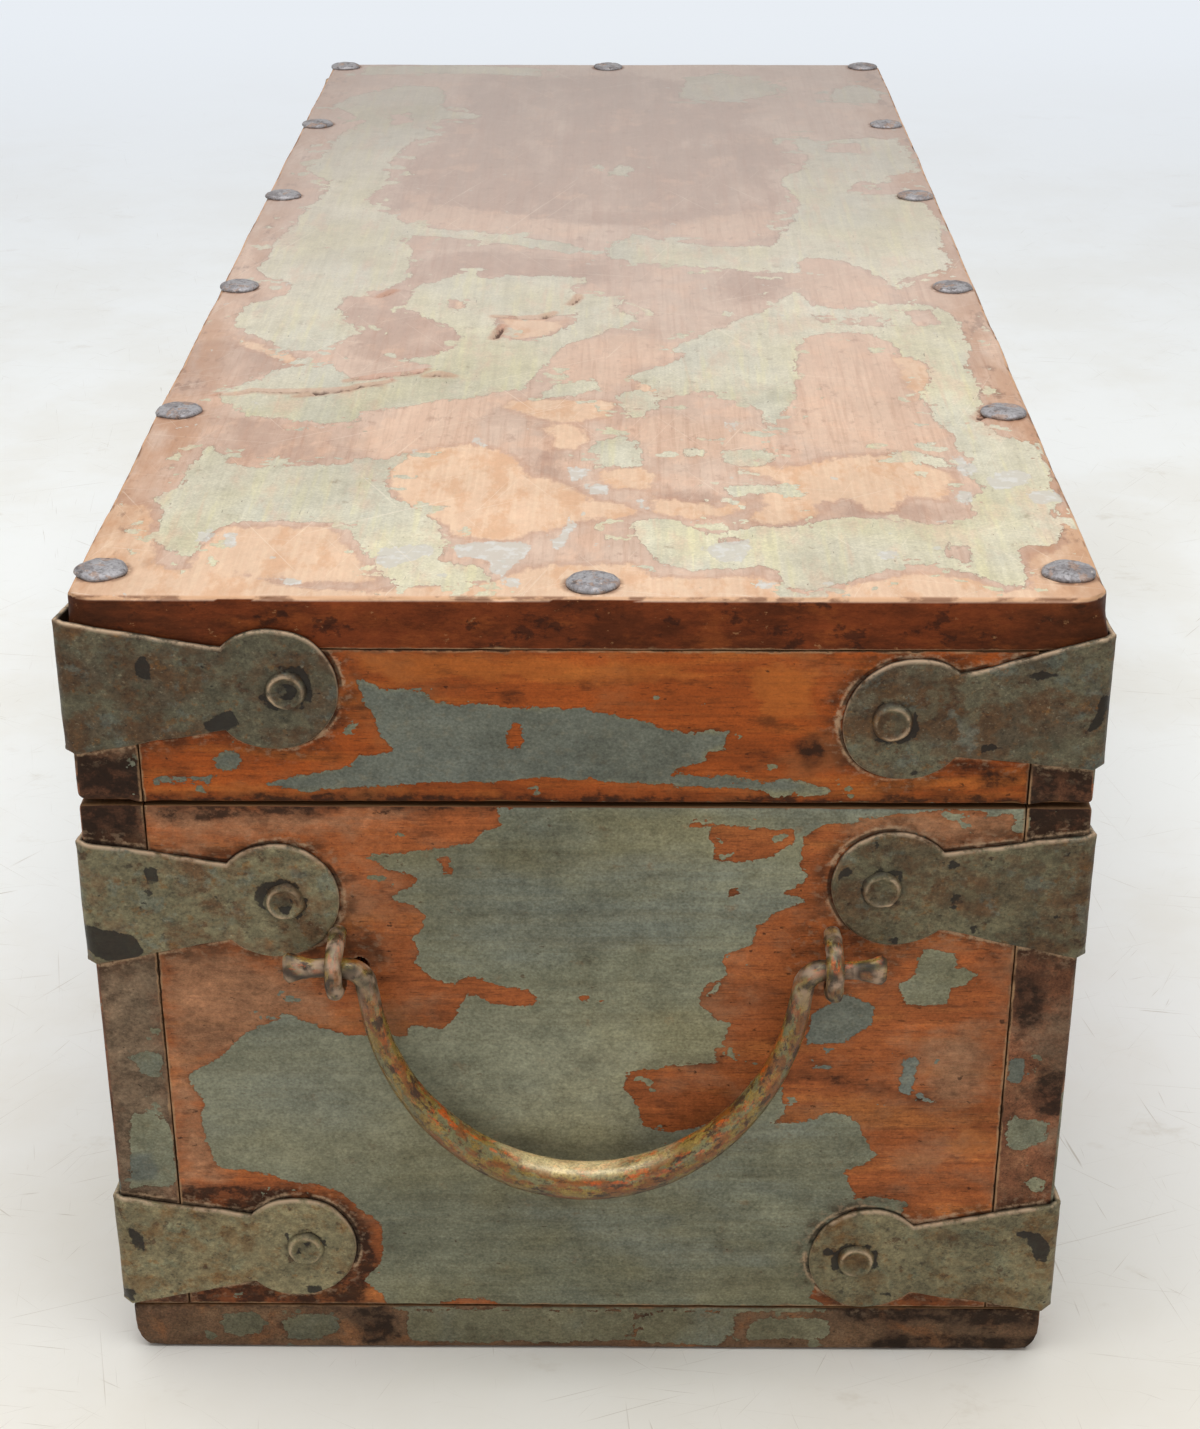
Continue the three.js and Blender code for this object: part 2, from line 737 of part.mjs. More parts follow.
function centreKnuckles({ centreKnuckle }) {
  return [[-centreKnuckle / 2, centreKnuckle / 2]];
}

function barrelsOn(stretches, way) {
  return stretches.flatMap(([from, to]) => [knuckle(from, to), knuckleRoot(from, to, way)]);
}

function rivetedLeaf(leaf, way, stretches) {
  const barrels = barrelsOn(stretches, way);
  const rivets = leafRivets(leaf, way).map(([across, up]) => (
    rivetGeometry(fitGap + hingeLeafThick).translate(0, across, up)
  ));
  const whole = joined([leafPlate(leaf, way), ...barrels, ...rivets]);
  return geometryOf(whole.subtract(pinBore(leaf.width)));
}

function pinGeometry(width) {
  const pin = new THREE.CylinderGeometry(hingePinRadius, hingePinRadius, width, headSides);
  return pin.translate(pinOut, 0, 0);
}

function hingeBodyPieces(end) {
  const centre = hingeCentre(end);
  const turn = turnOf.hinge;
  const leaf = rivetedLeaf(bodyLeaf, -1, outerKnuckles(bodyLeaf));
  return [
    named(`${end}_hinge_body_leaf`, leaf, 'paintedIron', centre, turn),
    named(`${end}_hinge_pin`, pinGeometry(hingeWidth), 'darkIron', centre, turn),
  ];
}

function hingeLidLeaf(end) {
  const leaf = rivetedLeaf(lidLeaf, 1, centreKnuckles(lidLeaf));
  return named(`${end}_hinge_lid_leaf`, leaf, 'paintedIron', hingeCentre(end), turnOf.hinge);
}

function haspBodyPieces() {
  const plate = rivetedLeaf(haspPlate, -1, outerKnuckles(haspPlate));
  return [
    named('hasp_plate', plate, 'paintedIron', haspCentre),
    named('hasp_pin', pinGeometry(haspWidth), 'darkIron', haspCentre),
  ];
}

// The hasp's strap is drawn raised, over the lid's staple, then hung down from its pin
function haspStrap() {
  const slotCentre = haspStapleHeight - haspHeight;
  const leaf = {
    width: haspWidth,
    neck: haspNeck,
    reach: slotCentre + haspTipReach,
    discRadius: haspTipRadius,
    centreKnuckle: haspKnuckleLength,
  };
  const slotWidth = haspStapleWireRadius + haspSlotPlay;
  const slotRise = haspStapleHalfHeight + haspStapleWireRadius + haspSlotPlay - slotWidth;
  const slot = new THREE.Path([
    ...arcPoints(0, slotCentre + slotRise, slotWidth, 0, Math.PI, discSteps),
    ...arcPoints(0, slotCentre - slotRise, slotWidth, Math.PI, Math.PI * 2, discSteps),
  ]);
  const barrels = barrelsOn(centreKnuckles(leaf), 1);
  const whole = joined([leafPlate(leaf, 1, [slot]), ...barrels]);
  const geometry = geometryOf(whole.subtract(pinBore(haspWidth))).translate(-pinOut, 0, 0);
  const position = haspCentre.clone().add(along(outwardAxis, pinOut));
  const mesh = named('hasp_strap', geometry, 'paintedIron', position);
  mesh.rotation.y = Math.PI;
  return mesh;
}

function haspStaple() {
  const geometry = stapleGeometry(haspStapleHalfHeight, haspStapleStraight, haspStapleWireRadius);
  return named('lid_staple', geometry, 'darkIron', haspStapleCentre);
}

// Assembly

const body = new THREE.Group();
body.add(bottomBoard());
body.add(sideBoard('hinge'), sideBoard('hasp'));
body.add(endBoard('near'), endBoard('far'));

const lid = new THREE.Group();
lid.add(topBoard());
lid.add(lidSideRail('hinge'), lidSideRail('hasp'));
lid.add(lidEndRail('near'), lidEndRail('far'));
lid.add(...topNailPlaces().map(topNail));
lid.add(haspStaple());

for (const corner of corners) {
  lid.add(cornerStrap('lid', corner));
  body.add(cornerStrap('upper', corner), cornerStrap('lower', corner));
  if (corner.end === 'near') {
    lid.add(looseRivet('lid', corner));
    body.add(looseRivet('upper', corner), looseRivet('lower', corner));
  }
}

for (const end of ends) {
  body.add(...handleStaples(end), ...hingeBodyPieces(end));
  lid.add(hingeLidLeaf(end));
}
body.add(...haspBodyPieces());

const chest = new THREE.Group();
chest.add(body, lid, bailHandle('near'), bailHandle('far'), haspStrap());

export default chest;
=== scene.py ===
"""The looks of a carpenter's tool chest: worn pine boards under flaking grey-green paint,
sheet iron straps round the corners, and a forged bail handle on each end."""

import math

import bmesh
import bpy
import numpy as np
from mathutils import Matrix, Vector, geometry, noise


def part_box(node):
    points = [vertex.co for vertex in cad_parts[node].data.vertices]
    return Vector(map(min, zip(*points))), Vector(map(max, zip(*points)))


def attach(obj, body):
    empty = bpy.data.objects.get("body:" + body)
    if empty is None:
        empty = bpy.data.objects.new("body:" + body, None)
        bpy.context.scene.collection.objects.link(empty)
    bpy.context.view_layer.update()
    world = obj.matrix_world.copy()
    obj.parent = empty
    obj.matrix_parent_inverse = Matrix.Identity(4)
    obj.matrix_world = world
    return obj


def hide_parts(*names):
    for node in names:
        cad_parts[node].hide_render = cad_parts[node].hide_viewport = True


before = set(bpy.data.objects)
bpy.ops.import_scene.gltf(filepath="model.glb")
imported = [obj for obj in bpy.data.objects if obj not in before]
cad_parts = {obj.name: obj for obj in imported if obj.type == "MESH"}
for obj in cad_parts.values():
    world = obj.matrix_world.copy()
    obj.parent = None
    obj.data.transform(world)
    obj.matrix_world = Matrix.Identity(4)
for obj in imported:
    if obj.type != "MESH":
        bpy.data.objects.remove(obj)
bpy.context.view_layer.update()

MM = 0.001
# Half the chest's width and length over its boards, and the height of its lid's top
HALF_WIDTH, HALF_LENGTH, LID_TOP = 115.0, 280.0, 207.8
# The distance in mm given to what lies far from every outline
UNDRAWN = 30.0


def size_of(node):
    """Lowest and highest corner of a node, in mm."""
    return [np.array(corner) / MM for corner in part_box(node)]


# Shapes drawn on the faces

# Outlines are in mm: across and up on the ends, across and along on the top. What an
# outline marks is told by its name, and rough edges come from the material.

END_PAINT = [
    # Lid's end rail: one long bluish patch and two crumbs beside it
    [(-50, 188), (-44, 185.5), (-36, 185), (-33, 182), (-24, 182), (-19, 181), (-10, 180.5),
     (0, 181), (5, 179.5), (12, 177.5), (18, 176), (22, 174.5), (32, 175), (32, 171), (27, 170),
     (27, 167), (20, 166), (20, 164.5), (32, 164), (45, 163), (52, 161.5), (56, 160), (30, 161),
     (13, 162), (-8, 163.5), (-20, 162.5), (-35, 162), (-50, 161), (-60, 160), (-71, 160.5),
     (-72, 162), (-62, 164), (-52, 166), (-51, 169), (-44, 170), (-43, 171), (-46, 174),
     (-46, 178), (-49, 182)],
    [(-97, 161.5), (-84, 161.5), (-84, 163.5), (-90, 163.2), (-97, 163.6)],
    [(-83, 165.5), (-77, 165), (-76.5, 169), (-80, 170), (-83, 168)],
    [(40, 162.6), (51, 162.8), (56.2, 160), (51, 159), (42, 158.6)],
    # Case's end board: the large field
    [(-20, 156), (-19, 151), (-24, 149), (-26, 146), (-38, 144.5), (-50, 143), (-46, 140),
     (-40, 138.5), (-38, 135.5), (-43, 134), (-45, 131.5), (-40, 130), (-37, 127.5),
     (-37.5, 124.5), (-40, 121.4), (-39, 118), (-40, 115), (-36, 110.5), (-31, 109),
     (-27, 107.3), (-29, 104), (-30.5, 101), (-33, 96.4), (-41.5, 97.2), (-43, 93.3),
     (-55.5, 94.8), (-63, 96.4), (-71, 100.3), (-80.5, 94.8), (-88, 87), (-94.6, 83.9),
     (-95.3, 80.8), (-92, 76), (-93, 71.4), (-92, 63.6), (-90, 55.8), (-83.6, 55), (-74, 52.6),
     (-66.4, 51), (-60, 48.7), (-55.5, 43.3), (-50.8, 38.6), (-50.8, 27.6), (-55.5, 21.4),
     (-51, 16.7), (-49, 12), (62, 12), (56, 17), (66, 45.6), (64, 54.2), (62.5, 55.8),
     (71, 59.7), (66.4, 66.7), (65.6, 70.6), (58.6, 72.2), (52.3, 70.6), (44.5, 69), (48, 73),
     (47, 80), (36, 82), (32, 88), (30.4, 90), (33.6, 96.4), (25.8, 104.2), (31.2, 107.3),
     (32.8, 112), (32, 116.7), (38.3, 119.8), (39.8, 124.5), (43, 127.6), (50.8, 131.5),
     (46, 133.9), (50.8, 137), (49.2, 141.7), (50, 148), (54, 151.8), (75, 153), (100, 154),
     (100, 157), (-20, 157)],
    # Crumbs of paint in the bare area at the right
    [(78.9, 119), (86.7, 118), (86.7, 113.6), (92, 112), (89.8, 109.7), (85, 108), (85, 104),
     (75.8, 103.4), (73.4, 108.9), (77.3, 112)],
    [(76, 89), (79, 88), (78, 78), (75, 79)],
    [(54, 87), (58.5, 86.5), (58, 85), (54, 85)],
    [(66, 47), (72, 48), (79, 46), (77, 41), (68, 40)],
    [(52, 92), (62, 93), (67, 98), (68, 104), (60, 106), (54, 101)],
    # Ends of the side boards
    [(-112, 49.5), (-100, 50), (-100.5, 68), (-104, 71), (-110, 72)],
    [(-110, 90), (-101, 89), (-101, 82), (-106, 83)],
    [(101, 89), (105, 88), (104, 81), (101, 82)],
    [(101.5, 72), (107, 71), (112, 70), (111, 65), (106, 62), (102, 63)],
    [(107, 54), (113, 53), (112, 50), (108, 50)],
    # Lower edge
    [(-45, 2), (-46, 11.5), (-20, 12), (12, 12), (12, 3), (-10, 2)],
    [(15, 2), (16, 12), (36, 12), (38, 8), (34, 1)],
    [(40, 3), (42, 10), (60, 10), (62, 4)],
    [(-92, 4), (-93, 10.5), (-84, 11.5), (-80, 7), (-84, 3.5)],
    [(-76, 3), (-76, 10), (-64, 11), (-62, 6), (-68, 2.5)],
    [(-60, 50.5), (-54, 50.5), (-53, 46), (-56, 43.5), (-58, 47)],
    [(96.7, 152.3), (100.7, 153.3), (101.1, 149), (98.1, 149.5)],
]

END_BARE = [
    [(-17, 171), (-14, 171), (-13.5, 176), (-15.5, 177.5), (-17.5, 175)],
    [(28.9, 151.8), (38.3, 150.3), (47.6, 150.3), (47.6, 146.4), (41.4, 142.5), (28.9, 141.7),
     (29.7, 146.4), (28, 148.7)],
    [(10, 84), (22.6, 86), (32, 87), (38, 88.6), (40, 82), (36.7, 74.5), (28.9, 68),
     (19.5, 66.7), (13, 69), (12.5, 74.5), (9.3, 79)],
    [(-31, 109), (-27, 111), (-20, 108.5), (-13, 107), (-10, 104), (-14, 102.5), (-21, 103),
     (-26, 105.5), (-30, 107)],
    [(32, 135), (35, 135.5), (36, 133), (33, 132)],
    [(-33.5, 143), (-31, 143), (-30.5, 138.5), (-32.5, 138)],
    [(-2, 105.6), (1.5, 105.8), (2, 104.4), (-1, 104)],
    [(31, 101), (38, 104), (40, 101), (35, 97)],
    [(32, 94), (39, 97), (38, 94.5), (34, 92.6)],
    [(24, 153), (29, 152.6), (28, 151), (24, 151)],
    [(26, 105), (29, 109), (31, 110), (29, 106), (27, 103)],
    [(-37, 14), (-31, 16), (-22, 15), (-20, 12.5), (-34, 12)],
    [(91, 152.5), (96, 155.5), (98, 153.5), (95, 150.5), (92, 150)],
    [(58, 152.6), (80, 155.5), (90, 155.2), (92, 152), (78, 150), (62, 150)],
]

END_BLUISH = [
    END_PAINT[0],
    END_PAINT[1],
    END_PAINT[2],
    [(50, 90), (70, 90), (70, 108), (50, 108)],
    [(52, 83), (60, 83), (60, 88), (52, 88)],
    [(72, 76), (82, 76), (82, 92), (72, 92)],
    [(100, 79), (106, 79), (106, 91), (100, 91)],
    [(-113, 52), (-104, 52), (-106, 60), (-113, 60)],
]

END_STAIN = [
    [(47.5, 172.4), (50.7, 173.4), (53.7, 170.6), (52, 167), (51.1, 165.1), (49.3, 167.8)],
    [(87.9, 165.8), (92, 165.4), (97.9, 163.5), (95.6, 161.7), (90.6, 161.6)],
    [(83, 168), (90, 168), (91, 165.5), (85, 165)],
    [(-100, 158.5), (-60, 159), (-20, 158.8), (30, 159), (60, 158.6), (100, 159), (100, 156.6),
     (-100, 156.6)],
    [(-18.5, 184.6), (-15, 184.6), (-14.6, 183), (-18, 183)],
    [(-100, 156.5), (-52, 156.5), (-58, 153.8), (-80, 153), (-92, 151.5), (-97, 153)],
    [(-5, 156.5), (-48, 156.5), (-44, 155), (-20, 155)],
    [(-100, 50), (-70, 50), (-60, 45), (-54, 38), (-52, 26), (-57, 14), (-100, 13)],
    [(100, 169.5), (116, 169.5), (116, 118), (100, 118)],
    [(-116, 168), (-100, 168), (-100, 157), (-116, 157)],
    [(-116, 156.5), (-101, 156.5), (-103, 147), (-116, 146)],
    [(101, 112), (106, 112), (108, 102), (104, 96), (101, 100)],
    [(108, 84), (116, 86), (116, 72), (110, 72), (107, 78)],
    [(62, 13.6), (116, 13.6), (116, 9), (98, 8), (80, 10), (66, 9.5)],
    [(88, 5), (116, 4), (116, 0), (70, 0), (72, 3.5)],
    [(-60, 12), (-49, 13.6), (-47, 3), (-56, 1)],
    [(8, 88.7), (20, 87.7), (32, 86.9), (32, 86.2), (20, 87), (8, 88)],
    [(45, 84.6), (60, 82.8), (72, 80.4), (84, 76), (84, 75), (72, 79), (60, 81.4), (45, 83.4)],
    [(-4, 204), (6, 204), (7, 200.6), (-6, 201)],
]

# Where varnish has gone grey and dusty, where the wood glows lighter, and where paint is paler
END_HAZE = [
    [(-99, 50), (-99, 117), (-84, 118), (-70, 112), (-62, 104), (-57, 97), (-70, 99), (-88, 88),
     (-94, 82), (-92, 66), (-88, 52)],
    [(-116, 45), (-100, 45), (-100, 114), (-116, 114)],
    [(83, 96), (92, 97), (94, 84), (90, 73), (83, 76), (81, 86)],
    [(58, 154), (90, 156), (99, 155), (98, 148), (80, 146), (64, 149)],
    [(-99, 149), (-60, 149), (-40, 154), (-99, 156)],
]
END_GLOW = [
    [(88, 63), (90, 67), (94, 68.5), (99, 67), (101, 63.5), (98, 59.5), (93, 58.8), (89, 60)],
    [(-50, 193.5), (-30, 194), (-10, 193), (14, 191.5), (26, 189), (0, 187), (-24, 188), (-44, 187.5)],
    [(-98, 161), (-60, 161), (-30, 160), (-20, 159), (-98, 159)],
    [(36, 190), (52, 191), (50, 180), (40, 178)],
]
END_PALE = [
    [(-96, 52), (-60, 50), (-46, 60), (-34, 78), (-28, 98), (-44, 98), (-70, 101), (-96, 86)],
    [(-20, 70), (20, 70), (8, 96), (-24, 98)],
]

TOP_PAINT = [
    [(-103, 0), (-60, 0), (-58, -12), (-57, -34), (-60, -41), (-63, -49), (-71, -52),
     (-75, -58), (-75, -68), (-73, -74), (-70, -84), (-66, -91), (-71, -98), (-78, -108),
     (-86, -107), (-92, -98), (-100, -90), (-104, -80), (-103, -68), (-101, -62), (-92, -54),
     (-91, -46), (-94, -40), (-99, -36), (-104, -30), (-103, -12)],
    [(-55, -50), (-54, -43), (-48, -40), (-44, -33), (-38, -30), (-34, -36), (-20, -35),
     (-14, -33), (-4, -35), (-3, -41), (-8, -45), (-6, -50), (-3, -54), (2, -55), (9, -58),
     (6, -66), (12, -75), (11, -81), (4, -88), (-1, -96), (-8, -101), (-11, -112),
     (-14, -124), (-18, -140), (-26, -143), (-32, -148), (-41, -149), (-50, -156),
     (-60, -159), (-60, -167), (-70, -168), (-80, -164), (-88, -163), (-92, -158),
     (-96, -152), (-100, -147), (-94, -138), (-90, -132), (-86, -124), (-79, -120),
     (-72, -120), (-69, -126), (-65, -132), (-58, -133), (-52, -128), (-46, -125),
     (-44, -121), (-50, -118), (-52, -114), (-46, -113), (-38, -104), (-37, -94),
     (-42, -84), (-50, -74), (-55, -68)],
    [(-96, -185), (-92, -190), (-89, -198), (-82, -200), (-60, -198), (-58, -193),
     (-50, -195), (-44, -189), (-49, -202), (-49, -212), (-45, -222), (-38, -231),
     (-33, -239), (-33, -248), (-32, -260), (-20, -266), (-21, -274), (-42, -273),
     (-47, -260), (-51, -252), (-54, -242), (-56, -237), (-68, -236), (-80, -236),
     (-86, -240), (-87, -250), (-89, -258), (-96, -252), (-99, -247), (-99, -230),
     (-104, -222), (-98, -217), (-98, -200)],
    [(10, -239), (14, -233), (22, -235), (24, -240), (30, -242), (37, -239), (50, -238),
     (60, -232), (70, -233), (78, -237), (86, -236), (92, -231), (90, -222), (95, -216),
     (93, -206), (94, -196), (92, -180), (91, -170), (88, -160), (88, -144), (92, -128),
     (92, -118), (84, -109), (85, -100), (80, -91), (66, -90), (60, -96), (58, -104),
     (56, -116), (55, -130), (54, -146), (50, -158), (46, -172), (45, -158), (41, -152),
     (36, -148), (31, -141), (20, -148), (18, -140), (10, -130), (12, -126), (20, -120),
     (26, -110), (23, -106), (25, -100), (30, -94), (36, -86), (42, -78), (50, -68),
     (55, -58), (60, -48), (64, -62), (70, -67), (82, -65), (90, -62), (98, -62),
     (102, -68), (106, -80), (105, -94), (106, -108), (102, -120), (104, -140),
     (102, -156), (100, -166), (104, -176), (112, -182), (113, -198), (112, -218),
     (110, -236), (108, -250), (102, -250), (98, -252), (97, -274), (92, -273), (86, -266),
     (79, -260), (70, -262), (62, -268), (50, -277), (44, -274), (43, -266), (40, -262),
     (32, -263), (24, -266), (18, -260), (14, -252)],
    [(2, -180), (8, -177), (12, -182), (13, -190), (14, -198), (10, -200), (6, -198),
     (2, -200), (3, -192), (0, -188)],
    [(33, -189), (38, -186), (45, -186), (46, -193), (43, -198), (38, -199), (34, -196)],
    [(22, -187), (26, -184), (28, -186), (30, -190), (24, -192)],
    [(33, -213), (40, -211), (46, -211), (45, -216), (40, -217), (36, -219)],
    [(-10, -138), (0, -131), (2, -140), (-5, -146), (-15, -150)],
    [(8, -143), (14, -141), (18, -148), (18, -156), (14, -160), (12, -164), (9, -158), (7, -150)],
    [(75, -188), (82, -189), (88, -194), (91, -199), (86, -200), (80, -195)],
    [(3, 0), (4, -12), (10, -18), (22, -20), (34, -24), (48, -28), (63, -30), (62, -20),
     (64, -13), (70, -12), (76, -16), (82, -24), (86, -32), (90, -40), (94, -36),
     (102, -30), (110, -24), (110, 0)],
    # Far half
    [(-103, -2), (-98, 40), (-95, 60), (-93, 80), (-104, 100), (-100, 120), (-98, 150),
     (-93, 165), (-90, 175), (-98, 190), (-105, 200), (-100, 215), (-90, 228), (-80, 238),
     (-67, 235), (-63, 225), (-63, 205), (-60, 193), (-47, 186), (-48, 178), (-60, 178),
     (-66, 165), (-62, 150), (-70, 142), (-74, 120), (-76, 100), (-73, 90), (-78, 60),
     (-75, 45), (-66, 35), (-60, 14), (-60, -2)],
    [(-68, 30), (-55, 22), (-40, 17), (-25, 12), (-10, 3), (-3, -3), (-8, -8), (-15, -4),
     (-30, 3), (-45, 10), (-62, 14)],
    [(3, -2), (12, 15), (20, 8), (30, 3), (45, -2), (57, 2), (58, 10), (62, 25), (67, 45),
     (68, 60), (62, 80), (66, 92), (72, 100), (75, 120), (70, 140), (75, 152), (80, 142),
     (98, 148), (108, 145), (112, 130), (112, 100), (100, 90), (105, 75), (110, 50),
     (112, 30), (110, -2)],
    [(3, 92), (10, 90), (12, 100), (8, 107), (4, 102)],
    [(30, 214), (50, 208), (70, 222), (66, 246), (48, 262), (34, 250)],
    [(90, 208), (108, 205), (111, 226), (104, 240), (92, 232)],
    [(-100, 258), (-60, 262), (-25, 256), (-28, 272), (-70, 278), (-98, 274)],
]

TOP_BARE_OF_PAINT = [
    [(-43, -58), (-39, -60), (-38, -66), (-40, -70), (-43, -66)],
    [(-28, -76), (-15, -77), (-6, -72), (-5, -80), (-10, -92), (-20, -99), (-27, -94)],
    [(29, -244), (38, -246), (36, -250), (30, -249)],
    [(82, -248), (87, -250), (86, -259), (82, -256)],
    [(64, -73), (75, -75), (86, -73), (84, -84), (74, -83), (66, -80)],
    [(90, -70), (99, -68), (99, -82), (92, -84)],
    [(82, 126), (95, 124), (95, 139), (84, 140)],
    [(85, 66), (105, 65), (104, 82), (88, 81)],
    [(-80, 168), (-72, 170), (-73, 190), (-81, 186)],
]

TOP_BLUISH = [
    [(-47, -253), (-42, -251), (-36, -250), (-34, -254), (-37, -258), (-40, -260), (-44, -264),
     (-47, -259)],
    [(-30, -251), (-26, -249), (-22, -248), (-14, -249), (-12, -252), (-13, -258), (-16, -262),
     (-18, -269), (-21, -266), (-22, -259), (-28, -257)],
    [(-4, -232), (-2, -238), (-4, -244), (-5, -252), (-8, -252), (-6, -246), (-5, -240)],
    [(26, -252), (30, -249), (37, -247), (38, -254), (35, -259), (31, -260), (29, -256)],
    [(12, -220), (14, -222), (15, -231), (13, -228)],
    [(-1, -210), (5, -212), (5, -218), (1, -217)],
    [(-5, -200), (0, -200), (-1, -210), (-5, -208)],
    [(100, -203), (105, -200), (108, -204), (106, -210), (101, -214), (97, -215), (96, -209)],
    [(105, -216), (112, -214), (113, -221), (107, -223)],
    [(90, -190), (94, -192), (95, -200), (92, -206), (91, -198)],
    [(-90, -242), (-86, -243), (-86, -250), (-89, -249)],
    [(-83, -242), (-80, -243), (-80, -252), (-83, -250)],
    [(-30, -176), (-28, -179), (-26, -185), (-29, -182)],
    [(35, -166), (38, -168), (37, -173), (35, -171)],
    [(-68, -269), (-64, -270), (-62, -274), (-66, -273)],
    [(38, -270), (42, -271), (41, -276), (38, -275)],
    [(-18, -269), (-14, -270), (-15, -275), (-17, -273)],
    [(66, -253), (71, -252), (71, -257), (67, -258)],
    [(88, -214), (92, -216), (91, -226), (88, -224)],
]

# Where old varnish has stayed dark, and where it has worn to a lighter peach
TOP_DARK = [
    [(-95, -166), (-86, -163), (-76, -166), (-60, -168), (-58, -178), (-57, -192), (-66, -198),
     (-80, -200), (-90, -198), (-93, -186), (-92, -174)],
    [(-15, -186), (-8, -185), (-6, -196), (-8, -204), (-14, -202)],
    [(-116, -98), (-104, -98), (-92, -108), (-76, -112), (-74, -121), (-92, -130), (-100, -145),
     (-116, -148)],
    [(-72, -58), (-60, -42), (-55, -50), (-54, -68), (-45, -78), (-38, -88), (-38, -100),
     (-44, -112), (-56, -118), (-66, -112), (-68, -98), (-70, -88), (-74, -74)],
    [(-58, -16), (-40, -6), (-24, -8), (-10, -14), (0, -14), (5, -26), (2, -40), (-3, -44),
     (-10, -34), (-30, -32), (-40, -32), (-55, -42)],
    [(-70, 44), (-46, 40), (-20, 28), (20, 24), (50, 34), (64, 60), (58, 90), (70, 112), (66, 150),
     (54, 170), (60, 205), (40, 236), (10, 262), (-20, 252), (-50, 262), (-58, 236), (-54, 200),
     (-60, 170), (-58, 140), (-70, 112), (-68, 80)],
    [(40, -28), (58, -34), (56, -56), (44, -64), (36, -48)],
    [(18, -214), (30, -216), (30, -224), (18, -226), (14, -220)],
    [(56, -224), (70, -222), (88, -226), (86, -236), (70, -232), (58, -236)],
]
TOP_PEACH = [
    [(60, -12), (70, -13), (78, -20), (84, -30), (89, -42), (88, -58), (80, -64), (70, -66),
     (64, -58), (60, -45), (58, -30)],
    [(59, -92), (70, -90), (80, -90), (86, -104), (90, -120), (88, -140), (88, -160), (92, -180),
     (86, -192), (70, -190), (56, -186), (50, -172), (50, -158), (54, -146), (56, -130),
     (57, -110)],
    [(-116, 0), (-106, 0), (-104, -30), (-94, -40), (-92, -52), (-102, -62), (-104, -80),
     (-100, -96), (-116, -100)],
    [(100, -30), (116, -20), (116, -200), (106, -186), (108, -160), (104, -130), (108, -110),
     (107, -84), (100, -62), (92, -56), (92, -44)],
    [(-58, -150), (-50, -158), (-56, -170), (-60, -185), (-50, -195), (-44, -190), (-36, -186),
     (-28, -180), (-30, -165), (-22, -150), (-34, -146)],
    [(8, -166), (20, -160), (30, -165), (44, -172), (44, -184), (34, -190), (24, -196),
     (16, -190), (12, -178)],
    [(-12, -98), (0, -96), (12, -92), (24, -100), (22, -112), (12, -124), (14, -132), (4, -142),
     (-8, -134), (-14, -118)],
    [(-70, 34), (-52, 24), (-30, 14), (-10, 10), (0, 22), (-20, 34), (-44, 46), (-60, 56)],
    [(20, 14), (44, 4), (58, 14), (64, 40), (50, 44), (30, 30)],
]

TOP_STRIPPED = [
    [(-49, -198), (-45, -190), (-38, -186), (-30, -184), (-24, -186), (-20, -192),
     (-16, -200), (-14, -206), (-6, -210), (-3, -216), (2, -222), (9, -225), (12, -230),
     (6, -234), (-2, -236), (-6, -240), (-10, -243), (-16, -246), (-24, -247), (-31, -244),
     (-33, -238), (-38, -232), (-44, -224), (-48, -214)],
    [(36, -200), (44, -197), (50, -200), (58, -194), (68, -190), (78, -191), (84, -197),
     (88, -204), (88, -214), (84, -221), (76, -218), (72, -228), (68, -230), (62, -221),
     (56, -223), (54, -232), (44, -238), (38, -234), (42, -226), (42, -217), (46, -210)],
    [(14, -220), (22, -222), (30, -226), (38, -222), (34, -232), (24, -234), (16, -230)],
    [(-116, -283), (-116, -224), (-104, -226), (-99, -246), (-96, -262), (-88, -266),
     (-76, -268), (-60, -276), (-46, -276), (-20, -272), (-14, -264), (-8, -262), (10, -260),
     (16, -268), (40, -268), (48, -279), (60, -272), (74, -266), (84, -268), (92, -276),
     (98, -274), (100, -256), (108, -250), (113, -230), (117, -226), (117, -283)],
    [(-84, -239), (-58, -239), (-55, -250), (-49, -262), (-46, -272), (-62, -272),
     (-78, -266), (-88, -268), (-88, -254)],
    [(-20, -150), (-12, -148), (0, -149), (6, -152), (4, -162), (-2, -166), (-10, -166),
     (-16, -162), (-22, -156)],
    [(-12, -170), (-6, -167), (-2, -172), (0, -180), (-4, -188), (-8, -186), (-10, -178)],
    [(12, -136), (17, -134), (18, -142), (16, -148), (13, -146)],
    [(4, -201), (14, -199), (16, -206), (14, -214), (6, -214), (3, -208)],
    [(83, -112), (90, -112), (93, -124), (91, -140), (86, -148), (84, -130)],
    [(-108, -90), (-104, -92), (-84, -112), (-80, -120), (-84, -118), (-100, -102)],
    [(-28, -78), (-8, -79), (-12, -92), (-22, -97)],
    [(-43, -58), (-39, -60), (-37, -68), (-40, -68)],
    [(-7, -60), (-3, -62), (-3, -70), (-6, -70)],
]

